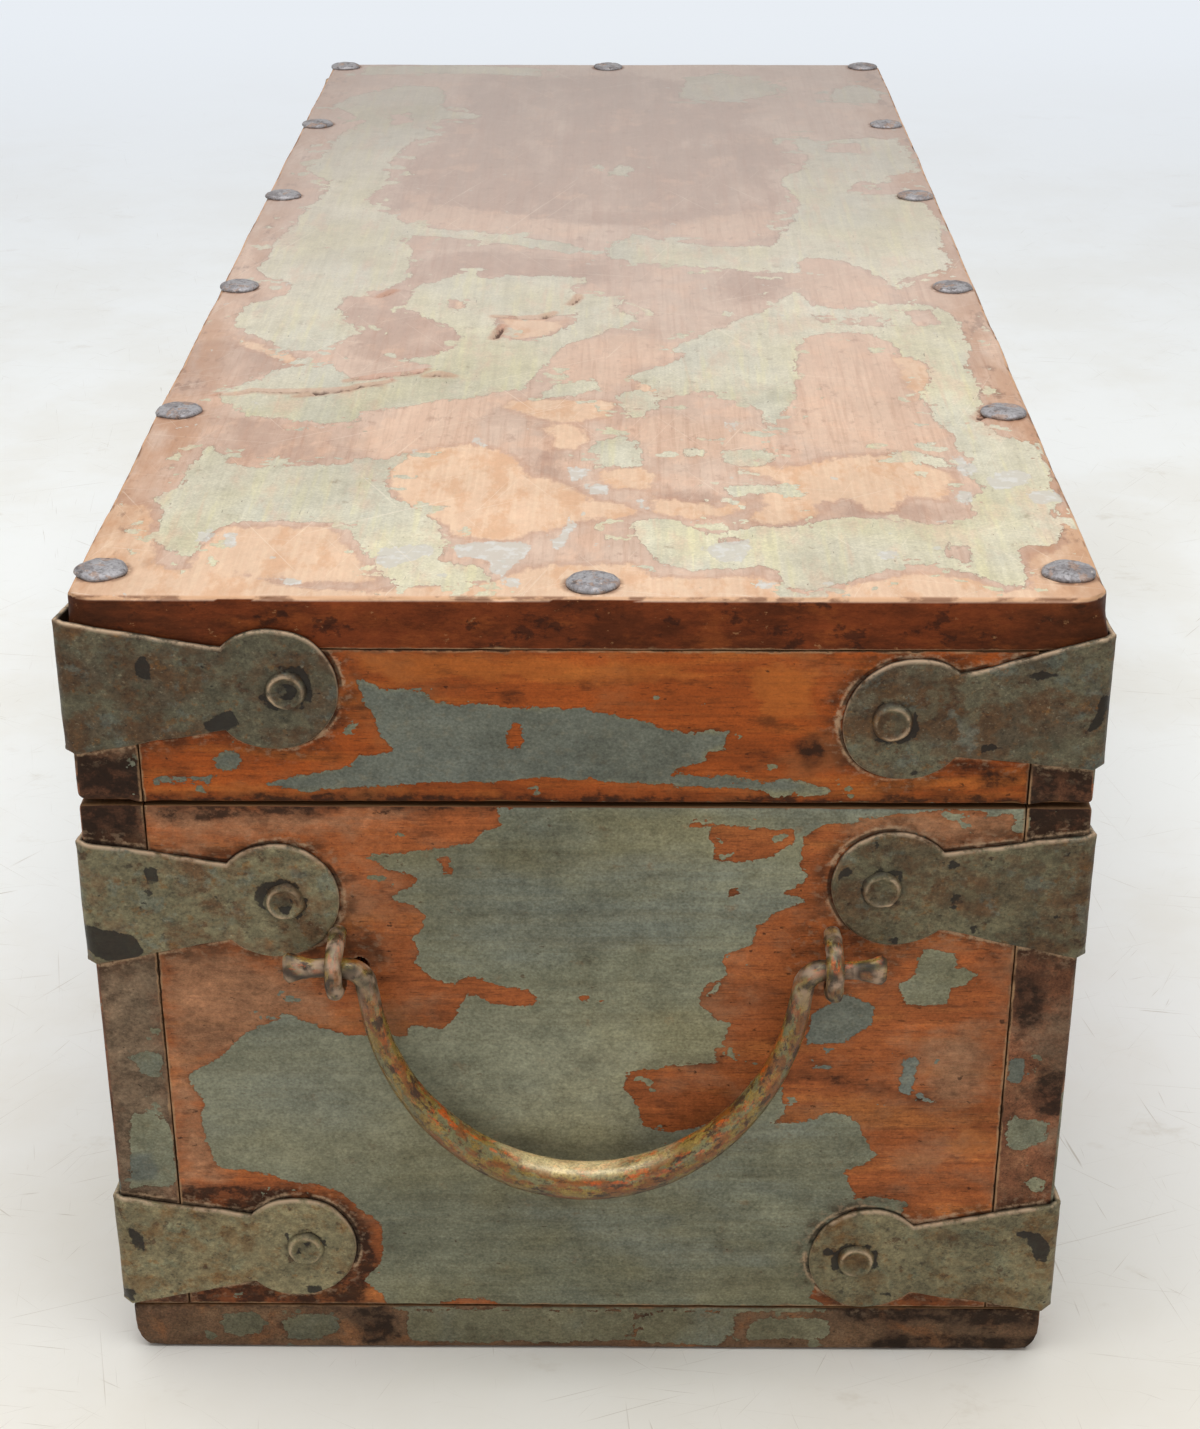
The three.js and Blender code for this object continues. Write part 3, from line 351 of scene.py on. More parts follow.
TOP_CRACKS = [
    ([(-100, -147), (-90, -143), (-82, -143.5), (-75, -143), (-65, -142), (-62, -139),
      (-58, -137), (-54, -134)], 1.1),
    ([(-66, -134), (-58, -130.5), (-50, -128), (-45, -125)], 0.8),
    ([(-45, -130), (-42, -129), (-38, -131)], 1.2),
    ([(-28, -97), (-27, -91), (-26, -85)], 0.8),
    ([(-29, -76), (-22, -77.5), (-15, -77), (-12, -72)], 0.9),
    ([(-7, -64), (-5.5, -58), (-5, -54)], 0.6),
    ([(100, -165), (101.5, -160), (104, -156)], 0.7),
    ([(-64, -56), (-60, -49)], 0.5),
    ([(-78, -147), (-70, -144)], 0.5),
]


def edges_of(outline):
    """Where an outline's edges start and end."""
    start = np.array(outline, float)
    return start, np.roll(start, -1, 0)


def inside_by(points, outlines):
    """How many mm each flat point lies inside the outlines, negative outside."""
    deepest = np.full(len(points), -UNDRAWN)
    for outline in outlines:
        start, end = edges_of(outline)
        close = np.all((points > start.min(0) - UNDRAWN) & (points < start.max(0) + UNDRAWN), axis=1)
        flat = points[close]
        run = end - start
        length = np.maximum((run ** 2).sum(1), 1e-9)
        off = flat[:, None, :] - start[None]
        share = np.clip((off * run).sum(-1) / length, 0, 1)
        gap = np.sqrt(((off - share[..., None] * run) ** 2).sum(-1)).min(1)
        px, pz = flat[:, 0][:, None], flat[:, 1][:, None]
        cross = (start[:, 1] > pz) != (end[:, 1] > pz)
        rise = np.where(np.abs(run[:, 1]) < 1e-9, 1e-9, run[:, 1])
        at = start[:, 0] + (pz - start[:, 1]) * run[:, 0] / rise
        within = (np.sum(cross & (px < at), axis=1) % 2) == 1
        deepest[close] = np.maximum(deepest[close], np.where(within, gap, -gap))
    return deepest


def distance_to_line(points, line):
    """Distance in mm from flat points to an open line, and how far along it they are."""
    start, end = np.array(line[:-1], float), np.array(line[1:], float)
    run = end - start
    off = points[:, None, :] - start[None]
    share = np.clip((off * run).sum(-1) / (run ** 2).sum(1), 0, 1)
    gaps = np.sqrt(((off - share[..., None] * run) ** 2).sum(-1))
    nearest = gaps.argmin(1)
    along = (nearest + share[np.arange(len(points)), nearest]) / len(run)
    return gaps.min(1), along


def weathered(points, seed, sizes, bare, spread):
    """How many mm each flat point lies inside patches left by chance, for the faces that the
    photograph doesn't show."""
    spots = np.column_stack([points / sizes, np.full(len(points), seed * 7.7)])
    left = np.array([noise.fractal(Vector(p), 0.75, 2.1, 6) for p in spots])
    return spread * (left - bare)


# What is drawn on each face. On the near end, aged stands for hazy varnish, stripped for wood
# that glows lighter, and peach for paler paint. The faces that the photograph doesn't show have
# weathering by chance instead: its seed, sizes, how much is bare, and depth.
FACES = {
    "near": {"paint": END_PAINT, "bare": END_BARE, "bluish": END_BLUISH, "stain": END_STAIN,
             "aged": END_HAZE, "stripped": END_GLOW, "peach": END_PALE},
    "top": {"paint": TOP_PAINT, "bare": TOP_BARE_OF_PAINT, "bluish": TOP_BLUISH,
            "stripped": TOP_STRIPPED, "aged": TOP_DARK, "peach": TOP_PEACH},
    "far": {"paint": (3, (75, 60), -0.12, 30), "bluish": (4, (50, 45), 0.35, 20),
            "stain": (5, (30, 16), 0.54, 9), "aged": (12, (60, 60), 0.15, 20),
            "stripped": (15, (60, 40), 0.1, 20), "peach": (18, (60, 60), 0.1, 20)},
    "hinge": {"paint": (6, (110, 62), 0.0, 34), "bluish": (7, (60, 50), 0.35, 20),
              "stain": (8, (36, 16), 0.54, 9), "aged": (13, (90, 60), 0.15, 20),
              "stripped": (16, (80, 40), 0.1, 20), "peach": (19, (70, 60), 0.1, 20)},
    "hasp": {"paint": (9, (110, 62), -0.05, 34), "bluish": (10, (60, 50), 0.35, 20),
             "stain": (11, (36, 16), 0.54, 9), "aged": (14, (90, 60), 0.15, 20),
             "stripped": (17, (80, 40), 0.1, 20), "peach": (20, (70, 60), 0.1, 20)},
}


# Corner straps

# How far a strap's face stands off the wood, its widths at the corner and the neck, its disc's
# radius, and its reach
STRAP_LIFT = 1.7
STRAP_ROOT, STRAP_NECK = 32.8, 20.0
STRAP_DISC, STRAP_REACH = 14.7, 44.6
# How far a rivet's head starts and ends above the wood
RIVET_SEAT, RIVET_TOP = 1.55, 2.85

# Each strap's height at the corner, the rise of its end arm, and the shares of the reach at
# which its disc and its rivet stand
STRAPS = {
    ("lid", "hinge"): (185.7, 0.0, 1.04, 1.06),
    ("lid", "hasp"): (182.6, -0.09, 0.97, 1.08),
    ("upper", "hinge"): (130.5, 0.03, 0.99, 1.04),
    ("upper", "hasp"): (133.2, 0.05, 0.99, 1.06),
    ("lower", "hinge"): (31.1, 0.03, 0.98, 1.04),
    ("lower", "hasp"): (30.0, -0.01, 1.02, 1.06),
}
# Where iron has gone black on each strap, as distance from the corner and height
STRAP_BLOTS = {
    ("lid", "hinge"): [[(17, 188.5), (19.8, 188.6), (20.2, 193), (18.6, 194.4), (17, 192.5)],
                       [(30, 178), (38, 181), (39, 177), (33, 175)]],
    ("lid", "hasp"): [[(18.4, 190.8), (13.6, 191), (10.3, 190.3), (14.3, 189.6), (17, 188.1)],
                      [(1, 185.5), (-1, 183.7), (1.2, 178.3), (5, 173.6), (4.3, 176), (2.3, 180.1)],
                      [(27.4, 172.2), (26, 172.9), (21.5, 172.4), (25, 171.4), (26.8, 170.9)],
                      [(42.7, 166.6), (39.9, 167.1), (39.4, 165.7), (42.2, 165)]],
    ("upper", "hinge"): [[(0, 125), (11.7, 122.6), (12.4, 118), (9.1, 115.3), (0, 117)],
                         [(15, 141), (18, 140), (17, 136), (14.6, 137)]],
    ("upper", "hasp"): [[(33.3, 143.6), (29.7, 142.7), (30, 140.8), (32.5, 140.3)],
                        [(57.1, 140.6), (53.9, 142.5), (52.6, 141.1), (55.4, 138.7), (57, 136.7)],
                        [(26.3, 126.2), (24.4, 126.1), (24.1, 124.3), (26, 124.3)],
                        [(45.5, 122.6), (43.7, 123.1), (42.6, 121.7), (44.4, 120.4)]],
    ("lower", "hinge"): [[(2, 38.5), (5, 38.3), (6.4, 33), (5, 29.5), (3, 33)],
                         [(45, 21.5), (49.4, 20.8), (49, 18.4), (45.4, 18.6)],
                         [(20.6, 35.8), (23, 35), (22, 33.4)], [(0, 19.5), (2.6, 19), (2, 16), (0, 16)]],
    ("lower", "hasp"): [[(57.4, 33.6), (54.8, 33), (55, 30.6), (57, 30.8)],
                        [(12, 39.6), (4, 38.5), (1, 34), (1.4, 29), (4, 30), (7, 36.4)],
                        [(40, 18), (30, 17.6), (20, 16.2), (22, 14.6), (34, 15.6)]],
}
# How much lighter or darker each strap's iron is, as a share: partly its own tone and partly painted light,
# the case's hinge-side straps lighter than its hasp-side ones
STRAP_SHADE = {("lid", "hinge"): -0.12, ("lid", "hasp"): 0.06, ("upper", "hinge"): 0.08,
               ("upper", "hasp"): -0.16, ("lower", "hinge"): 0.1, ("lower", "hasp"): -0.1}
SIDE_SIGN = {"hinge": -1, "hasp": 1}
END_SIGN = {"near": -1, "far": 1}
# Which end of a side board's thickness faces the inside
INNER_EDGE = {"hinge": 1, "hasp": 0}


def arm_outline(row, side):
    """One arm of a strap, from its root at the corner: distance along and offset up."""
    _, _, reach_share, _ = STRAPS[row, side]
    reach = STRAP_REACH * reach_share
    turn = math.pi - math.asin(STRAP_NECK / 2 / STRAP_DISC)
    rim = [
        (reach + STRAP_DISC * math.cos(a), STRAP_DISC * math.sin(a))
        for a in np.linspace(turn, -turn, 44)
    ]
    neck = rim[0][0]
    upper = [
        (w, STRAP_ROOT / 2 + (STRAP_NECK / 2 - STRAP_ROOT / 2) * max(w, 0) / neck)
        for w in np.linspace(0, neck - 0.9, 22)
    ]
    lower = [(w, -v) for w, v in reversed(upper)]
    return upper + rim + lower


def strap_on_face(row, side, arm):
    """Outline of a strap's arm on its face: distance from the corner, and height."""
    height, slope, _, _ = STRAPS[row, side]
    slope = slope if arm == "end" else -slope
    return [(w, height + v + slope * w) for w, v in arm_outline(row, side)]


def straps_on(face):
    """Outlines of all the straps that lie on one face."""
    outlines = []
    for row, side in STRAPS:
        if face in END_SIGN:
            sign = SIDE_SIGN[side]
            outline = strap_on_face(row, side, "end")
            outlines.append([(sign * (HALF_WIDTH - w), z) for w, z in outline])
        elif face == side:
            outline = strap_on_face(row, side, "side")
            for sign in END_SIGN.values():
                outlines.append([(sign * (HALF_LENGTH - w), z) for w, z in outline])
    return outlines


# Meshes


def lumps(points, size, seed=0.0):
    """Smooth noise from -1 to 1 at points in mm, in lumps of about that size."""
    shift = Vector((seed * 17.3, seed * 9.1, seed * 5.7))
    sizes = np.array(size, float) * np.ones(3)
    return np.array([noise.noise(Vector(p) + shift) for p in np.asarray(points) / sizes])


def make_piece(name, points, faces, marks, materials, body, nodes=(), soft=True):
    """A piece from points in mm. Marks are named numbers on its points."""
    mesh = bpy.data.meshes.new(name)
    mesh.from_pydata([tuple(p) for p in np.asarray(points) * MM], [], [list(f) for f in faces])
    mesh.validate()
    for mark, values in marks.items():
        layer = mesh.attributes.new(mark, "FLOAT", "POINT")
        layer.data.foreach_set("value", np.asarray(values, np.float32))
    for material in materials:
        mesh.materials.append(material)
    if soft:
        mesh.polygons.foreach_set("use_smooth", [True] * len(mesh.polygons))
    piece = bpy.data.objects.new(name, mesh)
    bpy.context.scene.collection.objects.link(piece)
    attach(piece, body)
    if nodes:
        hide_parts(*nodes)
    return piece


EDGE_CUTS = [0, 0.35, 0.8, 1.4, 2.2, 3.2]


def cuts(low, high, step, fine=()):
    """Places of a board's lines: close at its edges and in the fine spans."""
    places = [low + c for c in EDGE_CUTS] + [high - c for c in EDGE_CUTS]
    inner_low, inner_high = low + EDGE_CUTS[-1], high - EDGE_CUTS[-1]
    count = max(int(round((inner_high - inner_low) / step)), 1)
    places += list(np.linspace(inner_low, inner_high, count + 1))
    for start, end, fine_step in fine:
        places = [p for p in places if not start <= p <= end]
        places += list(np.arange(start, end + fine_step / 2, fine_step))
    kept = []
    for place in sorted(places):
        if low <= place <= high and (not kept or place - kept[-1] > 0.2):
            kept.append(place)
    kept[-1] = high
    return np.array(kept)


def lattice(low, high, steps, fine):
    """A box's skin as points and quads, with its points on shared lines."""
    axes = [cuts(low[a], high[a], steps[a], fine.get(a, ())) for a in range(3)]
    index = -np.ones([len(c) for c in axes], int)
    skin = np.zeros(index.shape, bool)
    for axis in range(3):
        for end in (0, -1):
            skin[tuple(end if a == axis else slice(None) for a in range(3))] = True
    index[skin] = np.arange(skin.sum())
    points = np.stack(np.meshgrid(*axes, indexing="ij"), -1)[skin]
    quads = []
    for axis in range(3):
        for end in (0, -1):
            sheet = np.take(index, end, axis=axis)
            four = [sheet[:-1, :-1], sheet[1:, :-1], sheet[1:, 1:], sheet[:-1, 1:]]
            side = np.stack(four, -1).reshape(-1, 4)
            quads.append(side[:, ::-1] if (end == 0) != (axis == 1) else side)
    return points, np.concatenate(quads)


def worn_box(low, high, steps, rounding, seed, wear, fine, tight=()):
    """A sawn board whose edges are rounded and knocked, and whose faces aren't quite flat.
    Edges in `tight`, as (axis, end), meet another board and stay sharp."""
    points, quads = lattice(low, high, steps, fine)
    radius = rounding * (1 + 0.45 * lumps(points, 34, seed))
    joint = np.zeros(len(points))
    for axis, end in tight:
        face = (low, high)[end][axis]
        joint = np.maximum(joint, np.clip(1.3 - np.abs(points[:, axis] - face) / (rounding + 1), 0, 1))
    radius = radius + (0.2 - radius) * np.clip(joint, 0, 1)
    wear = wear * (1 - 0.75 * joint)
    radius = np.clip(radius, 0.2, (high - low).min() / 2 - 0.1)[:, None]
    core = np.clip(points, low + radius, high - radius)
    off = points - core
    reach = np.linalg.norm(off, axis=1, keepdims=True)
    normals = off / np.maximum(reach, 1e-9)
    points = core + normals * radius
    edge = 1 - np.clip((np.abs(normals).max(1) - 0.72) / 0.27, 0, 1)
    depth = 0.09 * (1 + lumps(points, (60, 60, 30), seed + 1)) + 0.05 * (1 + lumps(points, 5, seed + 2))
    knocks = np.clip(lumps(points, 9, seed + 3) - 0.12, 0, 1) * wear
    chips = np.clip(lumps(points, 3.2, seed + 4) - 0.3, 0, 1) * wear * 0.9
    depth = depth + edge * (knocks + chips)
    return points - normals * depth[:, None], normals, edge, quads


def face_of(points, normals, outer):
    """Which outer face of the chest each point lies on, as an index into FACE_NAMES."""
    low, high = outer
    found = np.full(len(points), -1)
    tests = [
        ("near", points[:, 1] < low[1] + SKIN, -normals[:, 1]),
        ("far", points[:, 1] > high[1] - SKIN, normals[:, 1]),
        ("hinge", points[:, 0] < low[0] + SKIN, -normals[:, 0]),
        ("hasp", points[:, 0] > high[0] - SKIN, normals[:, 0]),
        ("top", points[:, 2] > high[2] - SKIN, normals[:, 2]),
    ]
    for name, near, toward in tests:
        found[near & (toward > 0.6)] = FACE_NAMES.index(name)
    return found


# A wall's thickness, the joints' heights, and how deep a face's worn edge reaches
WALL, FOOT_JOINT, LID_JOINT, SKIN = 15.0, 13.65, 194.95, 2.4
DRAWN_MARKS = ("paint", "bluish", "stripped", "stain", "aged", "peach")
FACE_NAMES = ["near", "far", "hinge", "hasp", "top"]
FACE_AXES = {"near": (0, 2), "far": (0, 2), "hinge": (1, 2), "hasp": (1, 2), "top": (0, 1)}
OUTER = (np.array([-HALF_WIDTH, -HALF_LENGTH, 0.0]), np.array([HALF_WIDTH, HALF_LENGTH, LID_TOP]))


# The handle's axis: its height and how far out it lies, and its staples' distance from the middle
HANDLE_Z, HANDLE_OUT, STAPLE_PLACE = 117.5, 7.2, 57.4
# Where grime and painted shade gather round the handle's ears: distance from the middle, and reach
EAR_GRIME_AND_SHADE = ((STAPLE_PLACE, 7.6), (66.0, 4.6))


def board_marks(points, normals, edge):
    """Marks of paint, undercoat, stripped wood and stain on a board's outer faces, and its distance to the
    iron, which places dirt and painted shade.
    """
    found = face_of(points, normals, OUTER)
    marks = {m: np.full(len(points), -UNDRAWN) for m in DRAWN_MARKS}
    marks["dirt"] = np.full(len(points), UNDRAWN)
    marks["inner"] = (found < 0).astype(float)
    gaps = [np.abs(np.abs(points[:, 0]) - (HALF_WIDTH - WALL)), np.abs(points[:, 2] - FOOT_JOINT)]
    gaps[0] += np.where(points[:, 2] > LID_JOINT, UNDRAWN, 0)
    gaps.append(np.abs(points[:, 2] - LID_JOINT) + 0.1)
    marks["joint"] = np.min(gaps, 0)
    marks["edge"] = edge
    marks["sawn"] = (found < 2).astype(float)
    for number, face in enumerate(FACE_NAMES):
        here = found == number
        if not here.any():
            continue
        flat = points[here][:, FACE_AXES[face]]
        drawn = FACES[face]
        for mark in DRAWN_MARKS:
            if isinstance(drawn.get(mark), tuple):
                marks[mark][here] = weathered(flat, *drawn[mark])
            elif drawn.get(mark):
                marks[mark][here] = inside_by(flat, drawn[mark])
        if drawn.get("bare"):
            marks["paint"][here] = np.minimum(marks["paint"][here], -inside_by(flat, drawn["bare"]))
        if face != "top":
            marks["dirt"][here] = -inside_by(flat, straps_on(face))
            if face in END_SIGN:
                ears = [np.linalg.norm(flat - (side * x, HANDLE_Z), axis=1) - reach
                        for side in (-1, 1) for x, reach in EAR_GRIME_AND_SHADE]
                marks["dirt"][here] = np.minimum(marks["dirt"][here], np.maximum(np.min(ears, 0), 2.4))
        else:
            marks["dirt"][here] = np.min([np.linalg.norm(flat - n, axis=1) for n in NAIL_PLACES], 0)
    return marks


# The nails' places along the lid, as shares of its length, and then on its top
NAIL_ROWS = [0.025, 0.216, 0.418, 0.611, 0.8, 0.9875]
NAIL_PLACES = [
    np.array((side * 107.5, -HALF_LENGTH + 2 * HALF_LENGTH * share))
    for side in (-1, 1) for share in NAIL_ROWS
] + [np.array((1.8, -272.5)), np.array((1.8, 272.5))]


def sweep(path, frames, rings, seed, sides=22, beaten=1.0):
    """A forged bar along a path: `frames` gives two directions across it, `rings` its two half
    sizes. Its marks tell where along and round the bar each point lies."""
    points, faces, spots = [], [], []
    turns = np.linspace(0, 2 * math.pi, sides + 1)[:-1]
    run = 0.0
    for i, (middle, (one, two), (a, b)) in enumerate(zip(path, frames, rings)):
        run += np.linalg.norm(middle - path[i - 1]) if i else 0.0
        for t in turns:
            points.append(middle + one * a * math.cos(t) + two * b * math.sin(t))
            spots.append((run, a * math.cos(t), b * math.sin(t)))
    middles = np.repeat(np.array(path), sides, 0)
    outward = np.array(points) - middles
    outward /= np.linalg.norm(outward, axis=1, keepdims=True)
    hammered = 0.15 * (1 + lumps(points, 6, seed)) + 0.09 * (1 + lumps(points, 2.2, seed + 1))
    points = list(np.array(points) - outward * (hammered * beaten)[:, None])
    for i in range(len(path) - 1):
        for s in range(sides):
            n = (s + 1) % sides
            faces.append((i * sides + s, i * sides + n, (i + 1) * sides + n, (i + 1) * sides + s))
    for start, turned in ((0, True), ((len(path) - 1) * sides, False)):
        ring = list(range(start, start + sides))
        points.append(np.mean([points[r] for r in ring], 0))
        hub = len(points) - 1
        for s in range(sides):
            pair = (ring[s], ring[(s + 1) % sides])
            faces.append((hub, pair[1], pair[0]) if turned else (hub, *pair))
        spots.append((spots[ring[0]][0], 0.0, 0.0))
    spots = np.array(spots)
    marks = {"run": spots[:, 0], "aside": spots[:, 1], "outside": spots[:, 2],
             "under": np.append(-outward[:, 2], (0, 0))}
    return np.array(points), faces, marks


def turned(profile, sides, seed, uneven):
    """A round head from (radius, rise) pairs, from rim to middle, a little out of true."""
    points, faces = [], []
    for radius, rise in profile:
        for t in np.linspace(0, 2 * math.pi, sides + 1)[:-1]:
            way = Vector((math.cos(t), math.sin(t), 0))
            swell = 1 + uneven * noise.noise(way * 1.4 + Vector((seed * 3.7, seed, rise * 0.3)))
            lift = rise + uneven * 2.5 * noise.noise(way * radius * 0.7 + Vector((seed, seed * 2, 5)))
            points.append((radius * swell * way.x, radius * swell * way.y, lift))
    for i in range(len(profile) - 1):
        for s in range(sides):
            n = (s + 1) % sides
            faces.append((i * sides + s, i * sides + n, (i + 1) * sides + n, (i + 1) * sides + s))
    last = (len(profile) - 1) * sides
    points.append((0, 0, profile[-1][1]))
    faces += [(last + s, last + (s + 1) % sides, len(points) - 1) for s in range(sides)]
    faces.append(tuple(reversed(range(sides))))
    return np.array(points), faces


def laid_on(points, middle, out, across, up):
    """Moves points drawn as across, up and out to their place on a face."""
    return middle + points @ np.array([across, up, out], float)


def joined(parts):
    """Several (points, faces, marks) as one."""
    points, faces, marks, base = [], [], {}, 0
    for part_points, part_faces, part_marks in parts:
        points.append(part_points)
        faces += [tuple(i + base for i in face) for face in part_faces]
        for mark, values in part_marks.items():
            marks.setdefault(mark, []).append(values)
        base += len(part_points)
    return np.concatenate(points), faces, {m: np.concatenate(v) for m, v in marks.items()}


# Materials


def linear(code):
    """An sRGB hex colour as the linear colour that shaders take."""
    parts = [int(code[i:i + 2], 16) / 255 for i in (1, 3, 5)]
    return tuple(c / 12.92 if c <= 0.04045 else ((c + 0.055) / 1.055) ** 2.4 for c in parts) + (1.0,)


def add(tree, kind, inputs=None, out=0, **settings):
    """Adds a shader node with its settings and links, and gives one of its outputs."""
    node = tree.nodes.new("ShaderNode" + kind)
    for name, value in settings.items():
        setattr(node, name, value)
    for name, value in (inputs or {}).items():
        if isinstance(value, bpy.types.NodeSocket):
            tree.links.new(value, node.inputs[name])
        else:
            node.inputs[name].default_value = value
    return node.outputs[out]


def grain_noise(tree, sizes, seed=0.0, detail=2.0, rough=0.5, warp=0.0, turn=0.0, where=None):
    """Noise from 0 to 1 whose lumps are `sizes` mm along X, Y and Z, turned about Z, or in the
    given places, which are in mm."""
    scale = [1 / (MM * s) if where is None else 1 / s for s in sizes]
    where = where or add(tree, "TexCoord", out="Object")
    if turn:
        where = add(tree, "VectorRotate", {"Vector": where, "Angle": math.radians(turn)},
                    rotation_type="Z_AXIS")
    shift = (seed * 1.7, seed * 3.1, seed * 2.3)
    spot = add(tree, "VectorMath", {0: where, 1: scale, 2: shift}, operation="MULTIPLY_ADD")
    settings = {"Vector": spot, "Scale": 1.0, "Detail": detail, "Roughness": rough, "Distortion": warp}
    return add(tree, "TexNoise", settings, out=0)


def where_above(tree, value, low, high):
    """A mask that rises from 0 to 1 as the value goes from low to high."""
    return add(tree, "MapRange", {"Value": value, "From Min": low, "From Max": high},
               interpolation_type="SMOOTHSTEP")


def patches(tree, sizes, low, high, seed=0.0, detail=3.0, rough=0.55, warp=0.0, turn=0.0, where=None):
    """A mask of ragged patches of about those sizes in mm."""
    value = grain_noise(tree, sizes, seed, detail, rough, warp, turn, where)
    return where_above(tree, value, low, high)


def both(tree, one, other):
    """A mask where both masks are."""
    return add(tree, "Math", {0: one, 1: other}, operation="MULTIPLY")


def opposite(tree, mask):
    """A mask where the given one isn't."""
    return add(tree, "Math", {0: 1.0, 1: mask}, operation="SUBTRACT")


def mark_of(tree, mark):
    """A mark on the mesh's points, as a number."""
    return add(tree, "Attribute", out="Fac", attribute_name=mark)


def drawn_mark(tree, mark, jitter=()):
    """A mark's distance in mm, its outline made ragged by (sizes, amount) jitters."""
    value = mark_of(tree, mark)
    for seed, (sizes, amount) in enumerate(jitter):
        shake = grain_noise(tree, sizes, seed + 31.0, 5.0, 0.62)
        value = add(tree, "Math", {0: shake, 1: amount, 2: value}, operation="MULTIPLY_ADD")
        value = add(tree, "Math", {0: value, 1: amount / 2}, operation="SUBTRACT")
    return value


def coat(tree, look, mask, colour=None, rough=None, rise=0.0, metal=None):
    """Lays a coat over a look where the mask is 1. Its rise is in mm."""
    if colour is not None:
        look["colour"] = add(tree, "Mix", {0: mask, 6: look["colour"], 7: colour}, out=2,
                             data_type="RGBA")
    if rough is not None:
        look["rough"] = add(tree, "Mix", {0: mask, 2: look["rough"], 3: rough})
    if metal is not None:
        look["metal"] = add(tree, "Mix", {0: mask, 2: look["metal"], 3: metal})
    if rise:
        look["height"] = add(tree, "Math", {0: mask, 1: rise, 2: look["height"]},
                             operation="MULTIPLY_ADD")


def stain(tree, look, mask, share, code, **more):
    """Lays a colour over part of a look, with the given share of its full strength."""
    coat(tree, look, both(tree, mask, share), linear(code), **more)


def dab(tree, look, figure, share, code, mask=None, **more):
    """Dabs a colour on in ragged patches. The figure is their sizes in mm, where they start and
    are full, the noise's seed, and how fine and how rough it is."""
    spots = patches(tree, *figure)
    stain(tree, look, spots if mask is None else both(tree, mask, spots), share, code, **more)


def mottle(tree, look, sizes, seed, amount, detail=8.0, rough=0.95, mask=1.0):
    """Makes a look lighter and darker in spots of every size up to the given one."""
    value = grain_noise(tree, sizes, seed, detail, rough)
    off = add(tree, "Math", {0: value, 1: 0.5}, operation="SUBTRACT")
    off = both(tree, both(tree, off, amount), mask)
    shift_shade(tree, look, off)


def shift_shade(tree, look, off):
    """Makes a look lighter by the given share, or darker where it is negative."""
    factor = add(tree, "Math", {0: off, 1: 1.0}, operation="ADD")
    look["colour"] = add(tree, "VectorMath", {0: look["colour"], "Scale": factor}, operation="SCALE")


def weather_the_paint(tree, look, film, seed, amount):
    """Uneven tone of old paint, from broad clouds down to specks."""
    mottle(tree, look, (64, 64, 48), seed, amount, mask=film)
    mottle(tree, look, (0.7, 0.7, 0.6), seed + 1, amount * 0.28, 1.0, 0.5, mask=film)
    mottle(tree, look, (130, 130, 90), seed + 2, amount * 0.42, 1.0, 0.5, mask=film)


def new_look(name, code, rough, metal=0.0):
    """A new material with its first colour."""
    material = bpy.data.materials.new(name)
    material.use_nodes = True
    tree = material.node_tree
    tree.nodes.clear()
    return material, tree, {"colour": linear(code), "rough": rough, "metal": metal, "height": 0.0}


def finish_look(tree, look, bump=1.0, specular=0.5):
    """Turns the look into the surface."""
    inputs = {"Base Color": look["colour"], "Roughness": look["rough"], "Metallic": look["metal"]}
    if isinstance(look["height"], bpy.types.NodeSocket):
        inputs["Normal"] = add(tree, "Bump", {"Height": look["height"], "Distance": MM, "Strength": bump})
    inputs["Specular IOR Level"] = specular
    add_output(tree, add(tree, "BsdfPrincipled", inputs))


def add_output(tree, surface):
    """Shows a surface."""
    output = tree.nodes.new("ShaderNodeOutputMaterial")
    tree.links.new(surface, output.inputs["Surface"])


def along_grain(grain, length, width):
    """Sizes of a figure that runs along the grain's axis."""
    return tuple(length if axis == grain else width for axis in range(3))


def lay_grain(tree, look, grain, tones, seed=0.0):
    """Pine's figure: broad bands, pale streaks, fibres and their shine, pores, dashes and grit."""
    dark, light, deep = tones
    for length, width, low, high, step, fine, share, code, rise, *more in (
            (150, 13, 0.4, 0.64, 0, 4.0, 0.5, dark, 0.0, 0.6, 0.7),
            (60, 9, 0.5, 0.7, 1, 4.0, 0.65, light, 0.0, 0.6, 0.5),
            (30, 0.8, 0.42, 0.68, 2, 3.0, 0.27, deep, -0.04),
            (22, 0.6, 0.55, 0.75, 3, 2.0, 0.24, light, 0.0),
            (3.0, 0.4, 0.6, 0.72, 4, 1.0, 0.45, "#1E0F08", -0.06),
            (7, 0.7, 0.66, 0.73, 6, 3.0, 0.5, "#2A170C", -0.05, 0.6)):
        figure = (along_grain(grain, length, width), low, high, seed + step, fine, *more)
        dab(tree, look, figure, share, code, rise=rise)
    dab(tree, look, ((0.55, 0.55, 0.45), 0.4, 0.7, seed + 5, 2.0), 0.22, deep)


